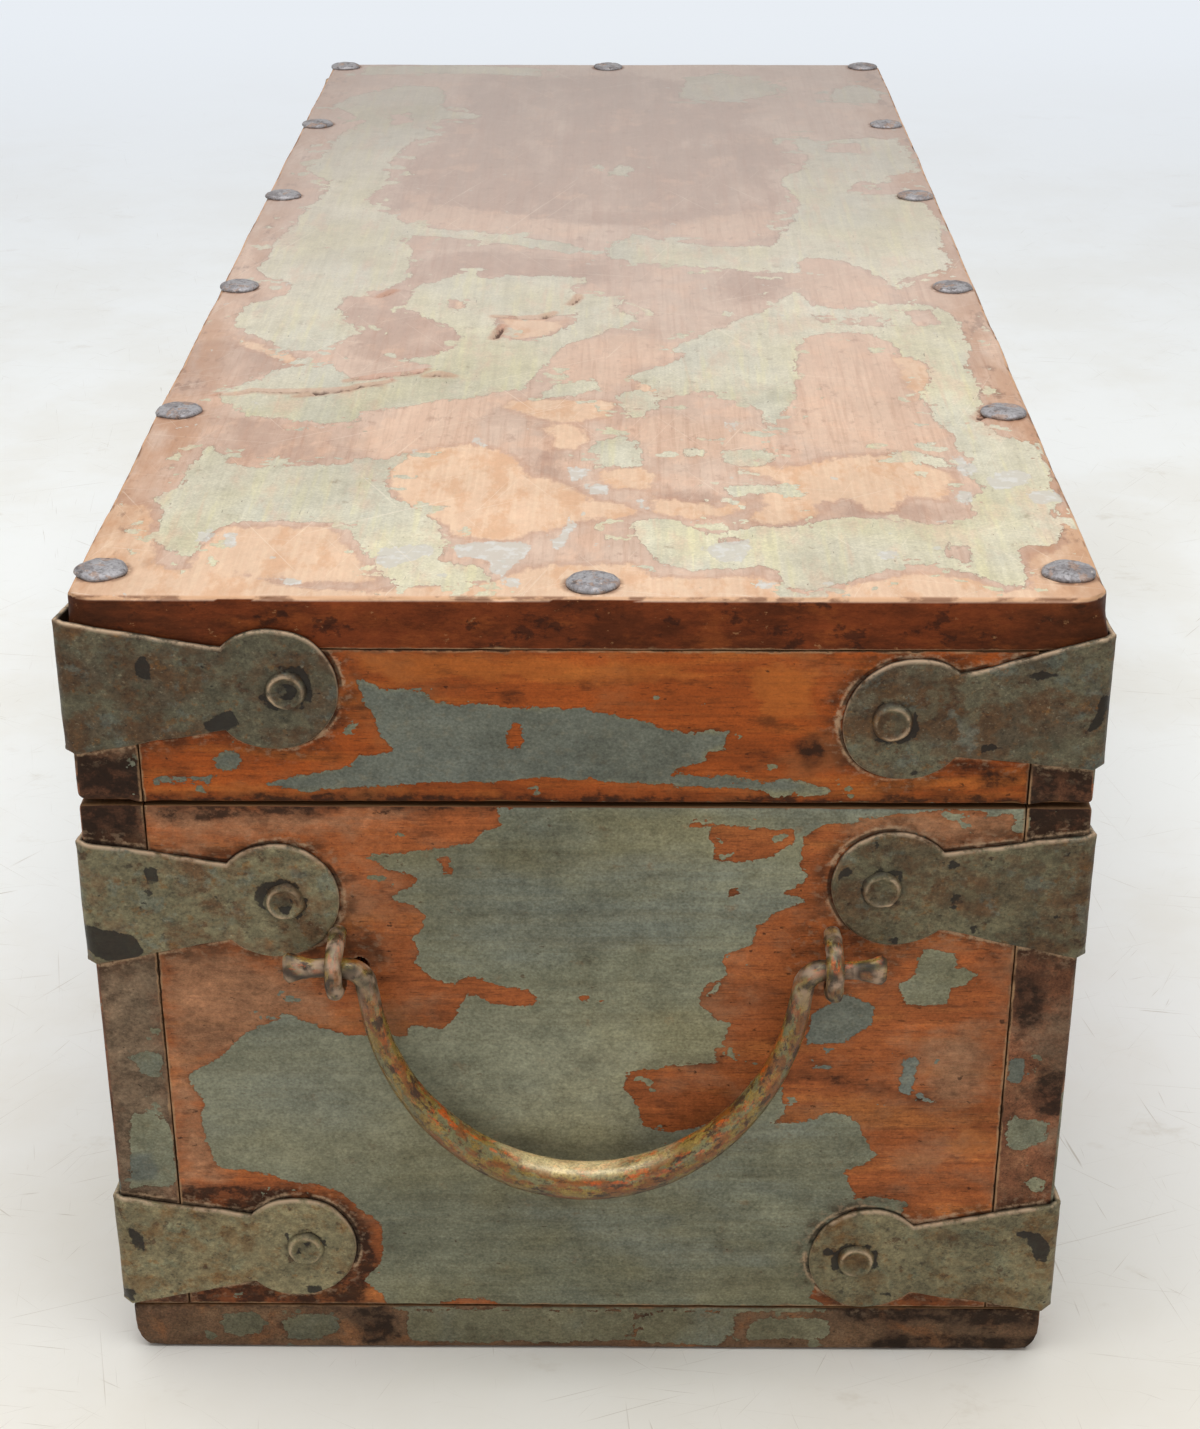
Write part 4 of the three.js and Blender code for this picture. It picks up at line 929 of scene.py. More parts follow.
def lay_paint(tree, look, value, grain, tones, rough, seed=0.0, film=0.16, chips=0.72):
    """A film of old oil paint: its ragged edge, brush lines and dirt, and crumbs flaked away."""
    base, olive, cool, dirt, lip_tone = tones
    flaked = patches(tree, (5, 5, 3.2), chips, chips + 0.02, seed + 5, 3.0)
    hole = add(tree, "Math", {0: flaked, 1: -3.0, 2: value}, operation="MULTIPLY_ADD")
    crumbs = patches(tree, (8, 8, 5.5), chips - 0.06, chips - 0.04, seed + 31, 4.0)
    hole = add(tree, "Math", {0: crumbs, 1: 7.0, 2: hole}, operation="MULTIPLY_ADD")
    shade = where_above(tree, hole, -0.7, 0.05)
    stain(tree, look, shade, 0.22, "#2A1A12")
    film_mask = where_above(tree, hole, -0.08, 0.1)
    coat(tree, look, film_mask, linear(base), rough, rise=film)

    for figure, share, code, rise in (
            (((52, 52, 34), 0.42, 0.62, seed, 5.0), 0.75, olive, 0.0),
            ((along_grain(grain, 60, 24), 0.47, 0.66, seed + 1, 5.0), 0.6, cool, 0.0),
            ((along_grain(grain, 60, 3), 0.45, 0.66, seed + 11, 5.0, 0.6), 0.22, lip_tone, 0.0),
            ((along_grain(grain, 70, 4), 0.48, 0.68, seed + 12, 5.0, 0.6), 0.25, dirt, 0.0),
            ((along_grain(grain, 26, 0.8), 0.42, 0.72, seed + 2, 4.0, 0.6), 0.2, dirt, -0.02),
            ((along_grain(grain, 13, 7), 0.55, 0.74, seed + 3, 6.0, 0.65), 0.42, dirt, 0.0),
            (((4, 4, 3), 0.56, 0.74, seed + 8, 6.0, 0.65), 0.35, dirt, 0.0),
            (((7, 7, 5), 0.6, 0.7, seed + 10, 6.0, 0.7), 0.4, "#7A5C40", 0.0),
            (((0.6, 0.6, 0.5), 0.42, 0.75, seed + 4, 3.0), 0.32, dirt, -0.02),
            (((0.7, 0.7, 0.6), 0.55, 0.8, seed + 9, 3.0), 0.35, lip_tone, 0.0),
            ((along_grain(grain, 2.6, 1.3), 0.7, 0.74, seed + 6, 3.0), 0.6, "#4A2E1C", 0.0),
            ((along_grain(grain, 8, 0.8), 0.73, 0.76, seed + 7, 2.0), 0.55, "#3A3226", 0.0)):
        dab(tree, look, figure, share, code, film_mask, rise=rise)
    lip = opposite(tree, where_above(tree, hole, 0.05, 0.45))
    stain(tree, look, both(tree, film_mask, lip), 0.38, lip_tone, rise=0.07)
    return film_mask


def fray(grain, big=2.6, small=1.4):
    """How far paint edges stray from their drawn lines, further along the grain."""
    return (((9, 9, 7), big), (along_grain(grain, 5, 2.0), small * 2.1), ((1.3, 1.3, 1.1), 1.9))


def lay_joint_dirt(tree, look, seed):
    """Dust packed in the joints, with the open crack showing through in short dashes."""
    sway = grain_noise(tree, (5, 5, 5), seed + 3, 5.0, 0.7)
    gap = add(tree, "Math", {0: sway, 1: 1.7, 2: mark_of(tree, "joint")}, operation="MULTIPLY_ADD")
    gap = add(tree, "Math", {0: gap, 1: 0.85}, operation="SUBTRACT")
    wide = add(tree, "Math", {0: grain_noise(tree, (4, 4, 4), seed, 4.0, 0.6), 1: 3.0, 2: -0.9},
               operation="MULTIPLY_ADD")
    dusty = where_above(tree, add(tree, "Math", {0: wide, 1: gap}, operation="SUBTRACT"), -0.1, 0.5)
    stain(tree, look, dusty, 0.5, "#6E523C", rough=0.8)
    packed = opposite(tree, where_above(tree, gap, 0.35, 0.85))
    dab(tree, look, ((12, 12, 12), 0.38, 0.6, seed + 2, 6.0, 0.7), 0.75, "#B28E6A", packed, rough=0.8)
    crack = opposite(tree, where_above(tree, gap, 0.15, 0.45))
    dab(tree, look, ((11, 11, 11), 0.5, 0.56, seed + 1, 6.0, 0.66), 0.85, "#1C120C", crack, rise=-0.12)


def leave_bare_inside(tree, look, grain, seed):
    """Brown unpainted wood on the faces inside the chest: broad bands, fibres and dark dashes."""
    hidden = mark_of(tree, "inner")
    stain(tree, look, hidden, 1.0, "#7A5A3C", rough=0.7)
    for length, width, low, share, code in (
            (90, 12, 0.35, 0.6, "#5A3F29"), (50, 4, 0.48, 0.4, "#94714E"),
            (34, 1.2, 0.44, 0.4, "#4A3220"), (7, 0.8, 0.62, 0.5, "#2E1E12")):
        figure = (along_grain(grain, length, width), low, low + 0.24, seed + width, 4.0, 0.6)
        dab(tree, look, figure, share, code, hidden)


def pine_of_the_case(name, grain, paint_tones, wood_tones, seed=0.0, uneven=2.4):
    """Pine under old varnish and flaking paint."""
    base, dark, light, deep, haze = wood_tones
    material, tree, look = new_look(name, base, 0.46)
    if grain == 1:
        stain(tree, look, opposite(tree, mark_of(tree, "sawn")), 0.9, "#A65E34")
    lay_grain(tree, look, grain, (dark, light, deep), seed=seed)
    glow = where_above(tree, drawn_mark(tree, "stripped", fray(grain, 7.0, 3.0)), -1.6, 1.6)
    stain(tree, look, glow, 0.45, light)
    dab(tree, look, ((30, 30, 20), 0.5, 0.68, seed + 8, 6.0, 0.65), 0.5, haze, rough=0.6)
    aged = where_above(tree, drawn_mark(tree, "aged", fray(grain, 14.0, 5.0)), -5.0, 5.0)
    stain(tree, look, aged, 0.75, haze, rough=0.6)
    dab(tree, look, (along_grain(grain, 14, 5), 0.53, 0.7, seed + 9, 6.0, 0.68), 0.6, deep)
    dab(tree, look, ((3, 3, 2), 0.66, 0.72, seed + 10, 4.0), 0.7, "#1C110B")
    mottle(tree, look, (64, 64, 48), seed + 20, uneven)
    mottle(tree, look, along_grain(grain, 70, 12), seed + 21, uneven * 0.3, 2.0, 0.6)
    mottle(tree, look, (0.7, 0.7, 0.6), seed + 22, uneven * 0.18, 1.0, 0.5)
    mottle(tree, look, (8, 8, 5), seed + 25, 2.6, 6.0, 0.95, mask=aged)
    shake = (((9, 9, 6), 5.0), ((2.6, 2.6, 1.8), 3.4), ((0.9, 0.9, 0.7), 1.4))
    spots = drawn_mark(tree, "stain", shake)
    grime = patches(tree, (5, 5, 4), 0.37, 0.56, seed + 11, 6.0, 0.7)
    stain(tree, look, where_above(tree, spots, -2.2, 0.4), 0.5, deep, rough=0.6)
    stain(tree, look, both(tree, where_above(tree, spots, -0.4, 0.9), grime), 0.82, "#1E140E", rough=0.6)
    value = drawn_mark(tree, "paint", fray(grain))
    film = lay_paint(tree, look, value, grain, paint_tones, 0.5, seed)
    pale = where_above(tree, drawn_mark(tree, "peach", fray(grain, 20.0, 8.0)), -12.0, 10.0)
    stain(tree, look, both(tree, film, pale), 0.3, "#A3A38C")
    cool = where_above(tree, drawn_mark(tree, "bluish", (((8, 8, 8), 4.0),)), -1.0, 1.0)
    stain(tree, look, both(tree, film, cool), 0.75, "#626863")
    fine = patches(tree, (3, 3, 2.2), 0.5, 0.72, seed + 12, 5.0, 0.7)
    stain(tree, look, both(tree, both(tree, film, cool), fine), 0.5, "#7A7462")
    weather_the_paint(tree, look, film, seed + 23, 2.8)
    # Grime and painted shade on the wood round the straps and the handle's ears
    close = mark_of(tree, "dirt")
    grime_and_shade_near_iron = opposite(tree, where_above(tree, close, 1.6, 5.6))
    dab(tree, look, ((6, 6, 4), 0.4, 0.62, seed + 13, 6.0, 0.65), 0.65, "#38261B", grime_and_shade_near_iron, rough=0.75)
    dab(tree, look, ((2.4, 2.4, 1.8), 0.52, 0.64, seed + 14, 5.0, 0.65), 0.4, "#A0876E", grime_and_shade_near_iron,
        rough=0.85)
    shaken = drawn_mark(tree, "dirt", (((4, 4, 4), 2.2), ((1.2, 1.2, 1.2), 1.2)))
    rim = both(tree, where_above(tree, shaken, -0.3, 0.0),
               opposite(tree, where_above(tree, shaken, 0.7, 1.5)))
    held = both(tree, patches(tree, (13, 13, 10), 0.4, 0.54, seed + 27, 6.0, 0.7),
                patches(tree, (1.6, 1.6, 1.4), 0.34, 0.56, seed + 28, 5.0, 0.7))
    stain(tree, look, both(tree, rim, held), 0.75, "#C2A484", rough=0.85)
    # Dirt and painted shade in a thin dark line along the straps' edges
    gap = opposite(tree, where_above(tree, close, 0.3, 0.8))
    dab(tree, look, ((9, 9, 6), 0.36, 0.5, seed + 16, 3.0), 0.75, "#160E09", mask=gap)
    lay_joint_dirt(tree, look, seed + 15)
    worn = mark_of(tree, "edge")
    dab(tree, look, ((12, 12, 9), 0.4, 0.6, seed + 17, 5.0), 0.65, "#3A2518", worn)
    dab(tree, look, ((7, 7, 5), 0.58, 0.66, seed + 18, 4.0), 0.6, light, worn)
    leave_bare_inside(tree, look, grain, seed + 19)
    finish_look(tree, look, 0.9, 0.14)
    return material


def lay_scratches(tree, look, share, code, seed, low=0.7, rise=-0.03):
    """Fine scratches in several directions."""
    for number, turn in enumerate((12, 63, -34, -71)):
        line = ((70, 0.7, 40), low, low + 0.04, seed + number, 1.0, 0.5, 0.9, turn)
        dab(tree, look, line, share, code, rise=rise)


def pine_of_the_top(name):
    """The lid's top board: paint worn through to pinkish varnish and to bare pale pine, in tones paler than
    the ends', partly painted light for the strong light that falls on the top.
    """
    material, tree, look = new_look(name, "#CBB09C", 0.44)
    where = add(tree, "TexCoord", out="Object")
    along = add(tree, "SeparateXYZ", {0: where}, out="Y")
    dab(tree, look, ((30, 44, 30), 0.42, 0.6, 21.0, 7.0, 0.66), 0.5, "#B49582")
    aged = where_above(tree, drawn_mark(tree, "aged", fray(1, 14.0, 6.0)), -4.0, 4.0)
    dab(tree, look, ((10, 40, 9), 0.2, 0.55, 32.0, 5.0, 0.6), 0.8, "#AC8D7B", aged)
    peach = where_above(tree, drawn_mark(tree, "peach", fray(1, 12.0, 5.0)), -3.0, 3.0)
    stain(tree, look, peach, 0.7, "#D3B299")
    dab(tree, look, ((12, 20, 12), 0.52, 0.66, 27.0, 6.0, 0.62), 0.45, "#D9B296")
    dab(tree, look, ((3.0, 70, 3), 0.42, 0.66, 28.0, 4.0, 0.5, 0.8), 0.2, "#AE7F66")
    dab(tree, look, ((1.1, 30, 1), 0.48, 0.7, 29.0, 3.0, 0.5, 0.5), 0.2, "#98694F", rise=-0.03)
    dab(tree, look, ((5, 7, 5), 0.58, 0.7, 31.0, 6.0, 0.65), 0.4, "#96705E")
    dab(tree, look, ((0.5, 5, 0.5), 0.6, 0.75, 30.0, 2.0), 0.18, "#7E5644", rise=-0.03)
    stripped = drawn_mark(tree, "stripped", fray(1, 7.0, 3.0))
    stain(tree, look, where_above(tree, stripped, -3.0, 0.0), 0.35, "#AE7E62")
    bare = where_above(tree, stripped, -0.5, 1.4)
    stain(tree, look, bare, 0.85, "#D6B496", rough=0.6, rise=-0.05)
    dab(tree, look, ((1.2, 34, 1), 0.42, 0.66, 22.0, 3.0), 0.3, "#E2C8AA", bare)
    dab(tree, look, ((8, 20, 9), 0.48, 0.62, 23.0, 7.0, 0.66), 0.6, "#C79873", bare)
    mottle(tree, look, (50, 80, 50), 48.0, 0.8)
    across = add(tree, "SeparateXYZ", {0: where}, out="X")
    off = add(tree, "Math", {0: across}, operation="ABSOLUTE")
    ragged = add(tree, "Math", {0: grain_noise(tree, (14, 40, 14), 61.0, 6.0, 0.66), 1: 0.03, 2: off},
                 operation="MULTIPLY_ADD")
    rim = where_above(tree, ragged, 0.11, 0.124)
    dab(tree, look, ((9, 30, 9), 0.3, 0.6, 62.0, 6.0, 0.66), 0.6, "#A97650", rim)
    dab(tree, look, ((5, 12, 5), 0.55, 0.66, 63.0, 6.0, 0.66), 0.5, "#6B4634", rim)
    value = drawn_mark(tree, "paint", fray(1, 6.0, 3.2))
    # Paint tones paler than the ends' paint: partly painted light for the top's strong light
    tones = ("#C6BFA9", "#BFB795", "#BDBBAC", "#A09880", "#DAD4BE")
    film = lay_paint(tree, look, value, 1, tones, 0.5, 5.0, 0.12, 0.65)
    # Where the paint is thin, rubbed through, and laid in strokes
    dab(tree, look, ((9, 22, 9), 0.5, 0.68, 24.0, 6.0, 0.65), 0.5, "#C9AC94", film)
    dab(tree, look, ((2.4, 40, 3.0), 0.58, 0.72, 25.0, 3.0), 0.35, "#C7A68C", film)
    dab(tree, look, ((3.2, 44, 3.2), 0.52, 0.66, 64.0, 5.0, 0.6), 0.4, "#CFC79C", film)
    weather_the_paint(tree, look, film, 49.0, 1.2)
    cool = where_above(tree, drawn_mark(tree, "bluish", fray(1, 4.0, 2.6)), -0.3, 0.3)
    stain(tree, look, cool, 0.85, "#C0BAAF", rough=0.5, rise=0.06)
    dab(tree, look, ((3, 3, 3), 0.5, 0.6, 36.0, 4.0), 0.6, "#CFCDC8", mask=cool)
    dab(tree, look, ((7, 9, 7), 0.7, 0.715, 34.0, 4.0), 0.75, "#BFBBB0", rise=0.06)
    lay_scratches(tree, look, 0.3, "#E8DAC6", 35.0, 0.72)
    # Painted shade: the board turns greyer and darker towards its far end
    for low, high, share, code in ((-0.2, 0.0, 0.36, "#B2A9A5"), (-0.05, 0.26, 0.46, "#968D89")):
        stain(tree, look, where_above(tree, along, low, high), share, code)
    slit = add(tree, "Math", {0: grain_noise(tree, (2, 2, 2), 41.0, 2.0), 1: 1.2, 2: mark_of(tree, "slit")},
               operation="MULTIPLY_ADD")
    stain(tree, look, where_above(tree, slit, -1.6, 0.2), 0.55, "#B88A72")
    stain(tree, look, where_above(tree, slit, 0.4, 0.9), 0.85, "#3E2418", rough=0.8)
    close = mark_of(tree, "dirt")
    ring = opposite(tree, where_above(tree, close, 6.1, 7.6))
    dab(tree, look, ((3, 3, 3), 0.35, 0.55, 26.0, 3.0), 0.7, "#6B4A38", rough=0.7, mask=ring)
    worn = where_above(tree, mark_of(tree, "edge"), 0.1, 0.7)
    stain(tree, look, worn, 0.85, "#D2A27A", rough=0.6)
    dab(tree, look, ((9, 9, 4), 0.5, 0.6, 42.0, 5.0), 0.75, "#6E4126", worn)
    side = mark_of(tree, "side")
    stain(tree, look, side, 1.0, "#74371A", rough=0.5)
    dab(tree, look, ((40, 40, 12), 0.42, 0.6, 43.0, 7.0, 0.68), 0.75, "#43200F", mask=side)
    dab(tree, look, ((14, 14, 6), 0.5, 0.66, 44.0, 7.0, 0.68), 0.5, "#8E4A22", mask=side)
    dab(tree, look, ((9, 9, 6), 0.56, 0.64, 45.0, 6.0, 0.7), 0.7, "#2A1710", mask=side)
    stain(tree, look, both(tree, side, where_above(tree, off, 0.07, 0.115)), 0.5, "#3A2415")
    dab(tree, look, ((3, 3, 2), 0.64, 0.7, 65.0, 5.0, 0.7), 0.5, "#B08258", mask=side)
    mottle(tree, look, (40, 40, 14), 50.0, 3.2, mask=side)
    lay_joint_dirt(tree, look, 46.0)
    leave_bare_inside(tree, look, 1, 66.0)
    shine = add(tree, "Math", {0: side, 1: -0.36, 2: 0.45}, operation="MULTIPLY_ADD")
    finish_look(tree, look, 0.9, shine)
    return material


def sheet_iron(name, tones, seed=0.0, paint_share=0.5):
    """Thin iron with remains of paint, rust between, black bruises, dust along its edge, and painted shade
    round its rivets and down its edges; each strap's tone is partly painted light.
    """
    base, rust, paint, cool = tones
    material, tree, look = new_look(name, base, 0.5, 0.2)
    dab(tree, look, ((12, 12, 10), 0.44, 0.58, seed, 7.0, 0.68), 0.85, rust, rough=0.65, metal=0.1)
    painted = ((20, 20, 15), paint_share - 0.05, paint_share + 0.05, seed + 1, 7.0, 0.66)
    dab(tree, look, painted, 0.85, paint, rough=0.5, rise=0.05, metal=0.0)
    dab(tree, look, ((7, 7, 6), 0.55, 0.63, seed + 7, 7.0, 0.68), 0.55, cool, rough=0.5, metal=0.0)
    dab(tree, look, ((5, 5, 4), 0.57, 0.66, seed + 2, 6.0, 0.68), 0.6, "#7A552A", rough=0.7)
    dab(tree, look, ((6, 6, 5), 0.6, 0.66, seed + 9, 6.0, 0.66), 0.7, "#4A2E1C", rough=0.7)
    dab(tree, look, ((6, 6, 5), 0.68, 0.71, seed + 3, 4.0), 0.85, "#14110F", rough=0.4, rise=-0.06)
    dab(tree, look, ((2.2, 2.2, 1.8), 0.6, 0.72, seed + 8, 3.0), 0.6, "#2A2019", rise=-0.05)
    dab(tree, look, ((0.7, 0.7, 0.6), 0.42, 0.7, seed + 4, 2.0), 0.35, "#1E1A15", rise=-0.06)
    dab(tree, look, ((0.9, 0.9, 0.8), 0.6, 0.75, seed + 5, 2.0), 0.35, "#9A927A", rise=0.03)
    dab(tree, look, ((9, 9, 7), 0.52, 0.6, seed + 13, 7.0, 0.7), 0.5, rust, rough=0.6)
    dab(tree, look, ((8, 8, 7), 0.54, 0.62, seed + 14, 7.0, 0.7), 0.55, paint, rough=0.5)
    dab(tree, look, ((3, 3, 2.6), 0.6, 0.68, seed + 15, 5.0, 0.7), 0.5, "#7E5228", rough=0.7)
    mottle(tree, look, (24, 24, 20), seed + 10, 3.3, 8.0)
    mottle(tree, look, (2.6, 2.6, 2.2), seed + 12, 1.7, 3.0, 0.8)
    # Each strap lighter or darker by its shade mark: partly its own tone, partly painted light
    shift_shade(tree, look, mark_of(tree, "shade"))
    # Darker where marked: painted shade round the rivets and where their heads meet the sheet and down the
    # straps' edges, the rivets' dark dishes, and dark patches on the worn copies
    stain(tree, look, mark_of(tree, "dark"), 0.75, "#1C1511", rough=0.6)
    blot = drawn_mark(tree, "blot", (((3.4, 3.4, 3.4), 2.8), ((1.0, 1.0, 1.0), 1.0)))
    stain(tree, look, where_above(tree, blot, -0.2, 0.15), 0.9, "#1A1512", rough=0.45, rise=-0.1)
    broken = patches(tree, (4.5, 4.5, 4), 0.36, 0.56, seed + 6, 6.0, 0.7)
    stain(tree, look, both(tree, mark_of(tree, "dust"), broken), 0.95, "#C8AC8E", rough=0.85, metal=0.0)
    finish_look(tree, look, 1.0, 0.3)
    return material


def forged_iron(name):
    """The handles' iron: worn smooth by hands, with rust, orange primer and grey-green paint left, a
    painted highlight on the grip's upper side, and painted shade under the bar.
    """
    material, tree, look = new_look(name, "#8C7338", 0.24, 0.1)
    ways = {axis: mark_of(tree, mark) for axis, mark in enumerate(("run", "aside", "outside"))}
    where = add(tree, "CombineXYZ", ways)

    def worn_patch(sizes, low, high, seed, share, code, mask=1.0, **more):
        here = patches(tree, sizes, low, high, seed, 8.0, 0.7, where=where)
        stain(tree, look, both(tree, here, mask), share, code, **more)

    under = mark_of(tree, "under")
    worn_patch((10, 5, 5), 0.48, 0.56, 41.0, 0.85, "#6A6A4A", rough=0.35, metal=0.0)
    worn_patch((8, 4, 4), 0.48, 0.56, 42.0, 0.85, "#7C4212", rough=0.35, metal=0.0)
    worn_patch((6, 3.4, 3), 0.53, 0.59, 43.0, 0.9, "#3A2314", rough=0.5, metal=0.0)
    upper = where_above(tree, under, 0.3, -0.5)
    worn_patch((6, 2.6, 3), 0.53, 0.59, 46.0, 0.9, "#B45112", upper, rough=0.35, metal=0.0)
    worn_patch((7, 3, 4), 0.69, 0.71, 44.0, 0.8, "#8A9499", rough=0.4, metal=0.0)
    worn_patch((2.0, 1.2, 1.5), 0.54, 0.62, 49.0, 0.75, "#38220F")
    worn_patch((2.0, 1.4, 1.5), 0.62, 0.7, 50.0, 0.45, "#B09B68")
    # Dusty grey-brown patches on the bar's underside, partly painted shade
    low = where_above(tree, under, 0.2, 0.85)
    worn_patch((12, 4, 4), 0.35, 0.55, 47.0, 0.8, "#5A4C3C", low, rough=0.65, metal=0.0)
    # Painted highlight and wear: pale cream on the upper side of the grip, with low roughness
    grip_wear_and_highlight = where_above(tree, mark_of(tree, "grip"), 0.45, 0.95)
    worn_patch((16, 6, 6), 0.3, 0.6, 48.0, 0.75, "#E0CC98", grip_wear_and_highlight, rough=0.22)
    dab(tree, look, ((0.6, 0.6, 0.6), 0.42, 0.7, 45.0, 3.0), 0.35, "#2A1B10", rise=-0.04)
    mottle(tree, look, (12, 12, 12), 51.0, 2.2, 7.0)
    # Painted shade on the bar's underside and painted light on its upper side
    shift_shade(tree, look, both(tree, under, -0.36))
    stain(tree, look, mark_of(tree, "dark"), 0.85, "#241C16", rough=0.6)
    broken = patches(tree, (3, 3, 3), 0.35, 0.6, 54.0, 5.0)
    stain(tree, look, both(tree, mark_of(tree, "dust"), broken), 0.8, "#BFA38A", rough=0.8, metal=0.0)
    finish_look(tree, look, 1.0, 0.5)
    return material


def nail_iron(name):
    """Forged nails gone grey, with darker and rusty patches."""
    material, tree, look = new_look(name, "#A3A0A2", 0.5, 0.3)
    dab(tree, look, ((7, 7, 6), 0.46, 0.56, 51.0, 6.0, 0.68), 0.6, "#6C6464", rough=0.6, metal=0.1)
    dab(tree, look, ((5, 5, 4), 0.53, 0.6, 55.0, 6.0, 0.68), 0.6, "#A4826A", rough=0.75, metal=0.0)
    dab(tree, look, ((2.4, 2.4, 2), 0.58, 0.64, 53.0, 5.0, 0.7), 0.65, "#453A36")
    dab(tree, look, ((1.6, 1.6, 1.4), 0.63, 0.69, 56.0, 4.0, 0.7), 0.6, "#D2C8BE", metal=0.0)
    dab(tree, look, ((0.7, 0.7, 0.6), 0.42, 0.7, 52.0, 2.0), 0.4, "#3A3230", rise=-0.05)
    finish_look(tree, look, 0.9)
    return material


CASE_PAINT = ("#7B7D6A", "#807C5F", "#737B75", "#5A523C", "#97937A")
FOOT_PAINT = ("#74715A", "#746E54", "#6C7268", "#4A4232", "#8A836A")
CASE_WOOD = ("#AC6033", "#834826", "#C27A42", "#46271A", "#9A7458")
LID_WOOD = ("#AA5420", "#843F18", "#BB6E30", "#43220F", "#94603A")
SIDE_WOOD = ("#81533A", "#573828", "#8A6246", "#2C1C14", "#80705C")
FOOT_WOOD = ("#755A42", "#56392A", "#98623A", "#33241B", "#6E5C4A")

end_pine = pine_of_the_case("old_pine_ends", 0, CASE_PAINT, CASE_WOOD, seed=1.0)
lid_end_pine = pine_of_the_case("old_pine_lid_ends", 0, CASE_PAINT, LID_WOOD, seed=2.0, uneven=1.7)
side_pine = pine_of_the_case("old_pine_sides", 1, CASE_PAINT, SIDE_WOOD, seed=3.0, uneven=3.6)
foot_pine = pine_of_the_case("old_pine_bottom", 1, FOOT_PAINT, FOOT_WOOD, seed=5.0, uneven=3.4)
top_pine = pine_of_the_top("old_pine_top")
lid_iron = sheet_iron("sheet_iron_lid", ("#5A4F3E", "#5A4028", "#625F4B", "#5E665E"), 61.0, 0.5)
upper_iron = sheet_iron("sheet_iron_upper", ("#6E624A", "#664A30", "#726D53", "#697064"), 62.0, 0.48)
lower_iron = sheet_iron("sheet_iron_lower", ("#786A4C", "#70522F", "#7E7658", "#76785F"), 63.0, 0.45)
handle_iron = forged_iron("forged_iron_handles")
dark_iron = nail_iron("forged_iron_nails")

STRAP_IRON = {"lid": lid_iron, "upper": upper_iron, "lower": lower_iron}


# The chest's pieces


def nail_a_board(name, body, material, slot, steps, rounding, seed, wear=0.8, fine=None, shape=None,
                 tight=(), grown=()):
    """A worn board in place of its CAD node."""
    low, high = size_of(name)
    for axis, end, more in grown:
        (low, high)[end][axis] += more
    points, normals, edge, quads = worn_box(low, high, steps, rounding, seed, wear, fine or {}, tight)
    marks = board_marks(points, normals, edge)
    if shape:
        points = shape(points, normals, marks)
    return make_piece(name + "_wood", points, quads, marks, [material], body, [name])


# The hole's place across and up, its radius and depth, and the mesh's step there
LOST_NAIL = np.array((-52.8, 113.7))
LOST_NAIL_RADIUS, LOST_NAIL_DEPTH, LOST_NAIL_STEP = 2.2, 8.0, 0.35


def lost_nail_hole(points, normals, marks):
    """Sinks the hole that a lost nail left beside the handle's left staple."""
    gap = np.linalg.norm(points[:, (0, 2)] - LOST_NAIL, axis=1)
    front = (points[:, 1] < -HALF_LENGTH + 2) & (gap < LOST_NAIL_RADIUS)
    points[front, 1] += LOST_NAIL_DEPTH * np.clip((LOST_NAIL_RADIUS - gap[front]) / LOST_NAIL_STEP, 0, 1)
    closer = np.minimum(marks["dirt"], gap - 1.5)
    marks["dirt"] = np.where(points[:, 1] > -HALF_LENGTH + 3, marks["dirt"], closer)
    marks["stain"] = np.where(front, 3.0, marks["stain"])
    return points


# How far a board laps into its joints, so that no light shows through them
END_LAP = [(0, 0, -0.28), (0, 1, 0.28)]
RAIL_LAP = END_LAP + [(2, 1, 0.24)]
# The mesh's steps on a board, and how far its edges are rounded
END_SETTINGS = {"near": ((1.5, 5, 1.5), 0.9), "far": ((2.5, 5, 2.5), 0.9)}
SIDE_SETTINGS = ((2.5, 4, 2.5), 1.6)


def build_case():
    """The four walls and the bottom board."""
    span = 2.8
    hole = {axis: [(place - span, place + span, LOST_NAIL_STEP)] for axis, place in zip((0, 2), LOST_NAIL)}
    shaped = {"near": {"fine": hole, "shape": lost_nail_hole}, "far": {}}
    for seed, end in enumerate(END_SIGN, 1):
        nail_a_board(end + "_end_board", "chest", end_pine, "pine_painted", *END_SETTINGS[end], seed,
                     tight=((0, 0), (0, 1), (2, 0)), grown=END_LAP, **shaped[end])
    for seed, (side, inner) in enumerate(INNER_EDGE.items(), 3):
        nail_a_board(side + "_side_board", "chest", side_pine, "pine_varnished", *SIDE_SETTINGS, seed, 1.2,
                     tight=((0, inner), (2, 0)))
    nail_a_board("bottom_board", "chest", foot_pine, "pine_bottom", (4, 5, 2.5), 1.0, 5.0, 1.0,
                 shape=worn_foot)


def worn_foot(points, normals, marks):
    """Rounds the bottom board's lower long edges, worn where the chest was dragged."""
    low, high = size_of("bottom_board")
    for side, edge in ((-1, low[0]), (1, high[0])):
        off = np.clip(6 - np.abs(points[:, 0] - edge), 0, 6) / 6
        sunk = np.clip(9 - points[:, 2], 0, 9) / 9
        corner = np.clip(np.sqrt(off ** 2 + sunk ** 2) - 1, 0, 1)
        share = corner / np.maximum(np.sqrt(off ** 2 + sunk ** 2), 1e-6)
        points[:, 0] -= side * 6 * off * share
        points[:, 2] += 9 * sunk * share
    return points


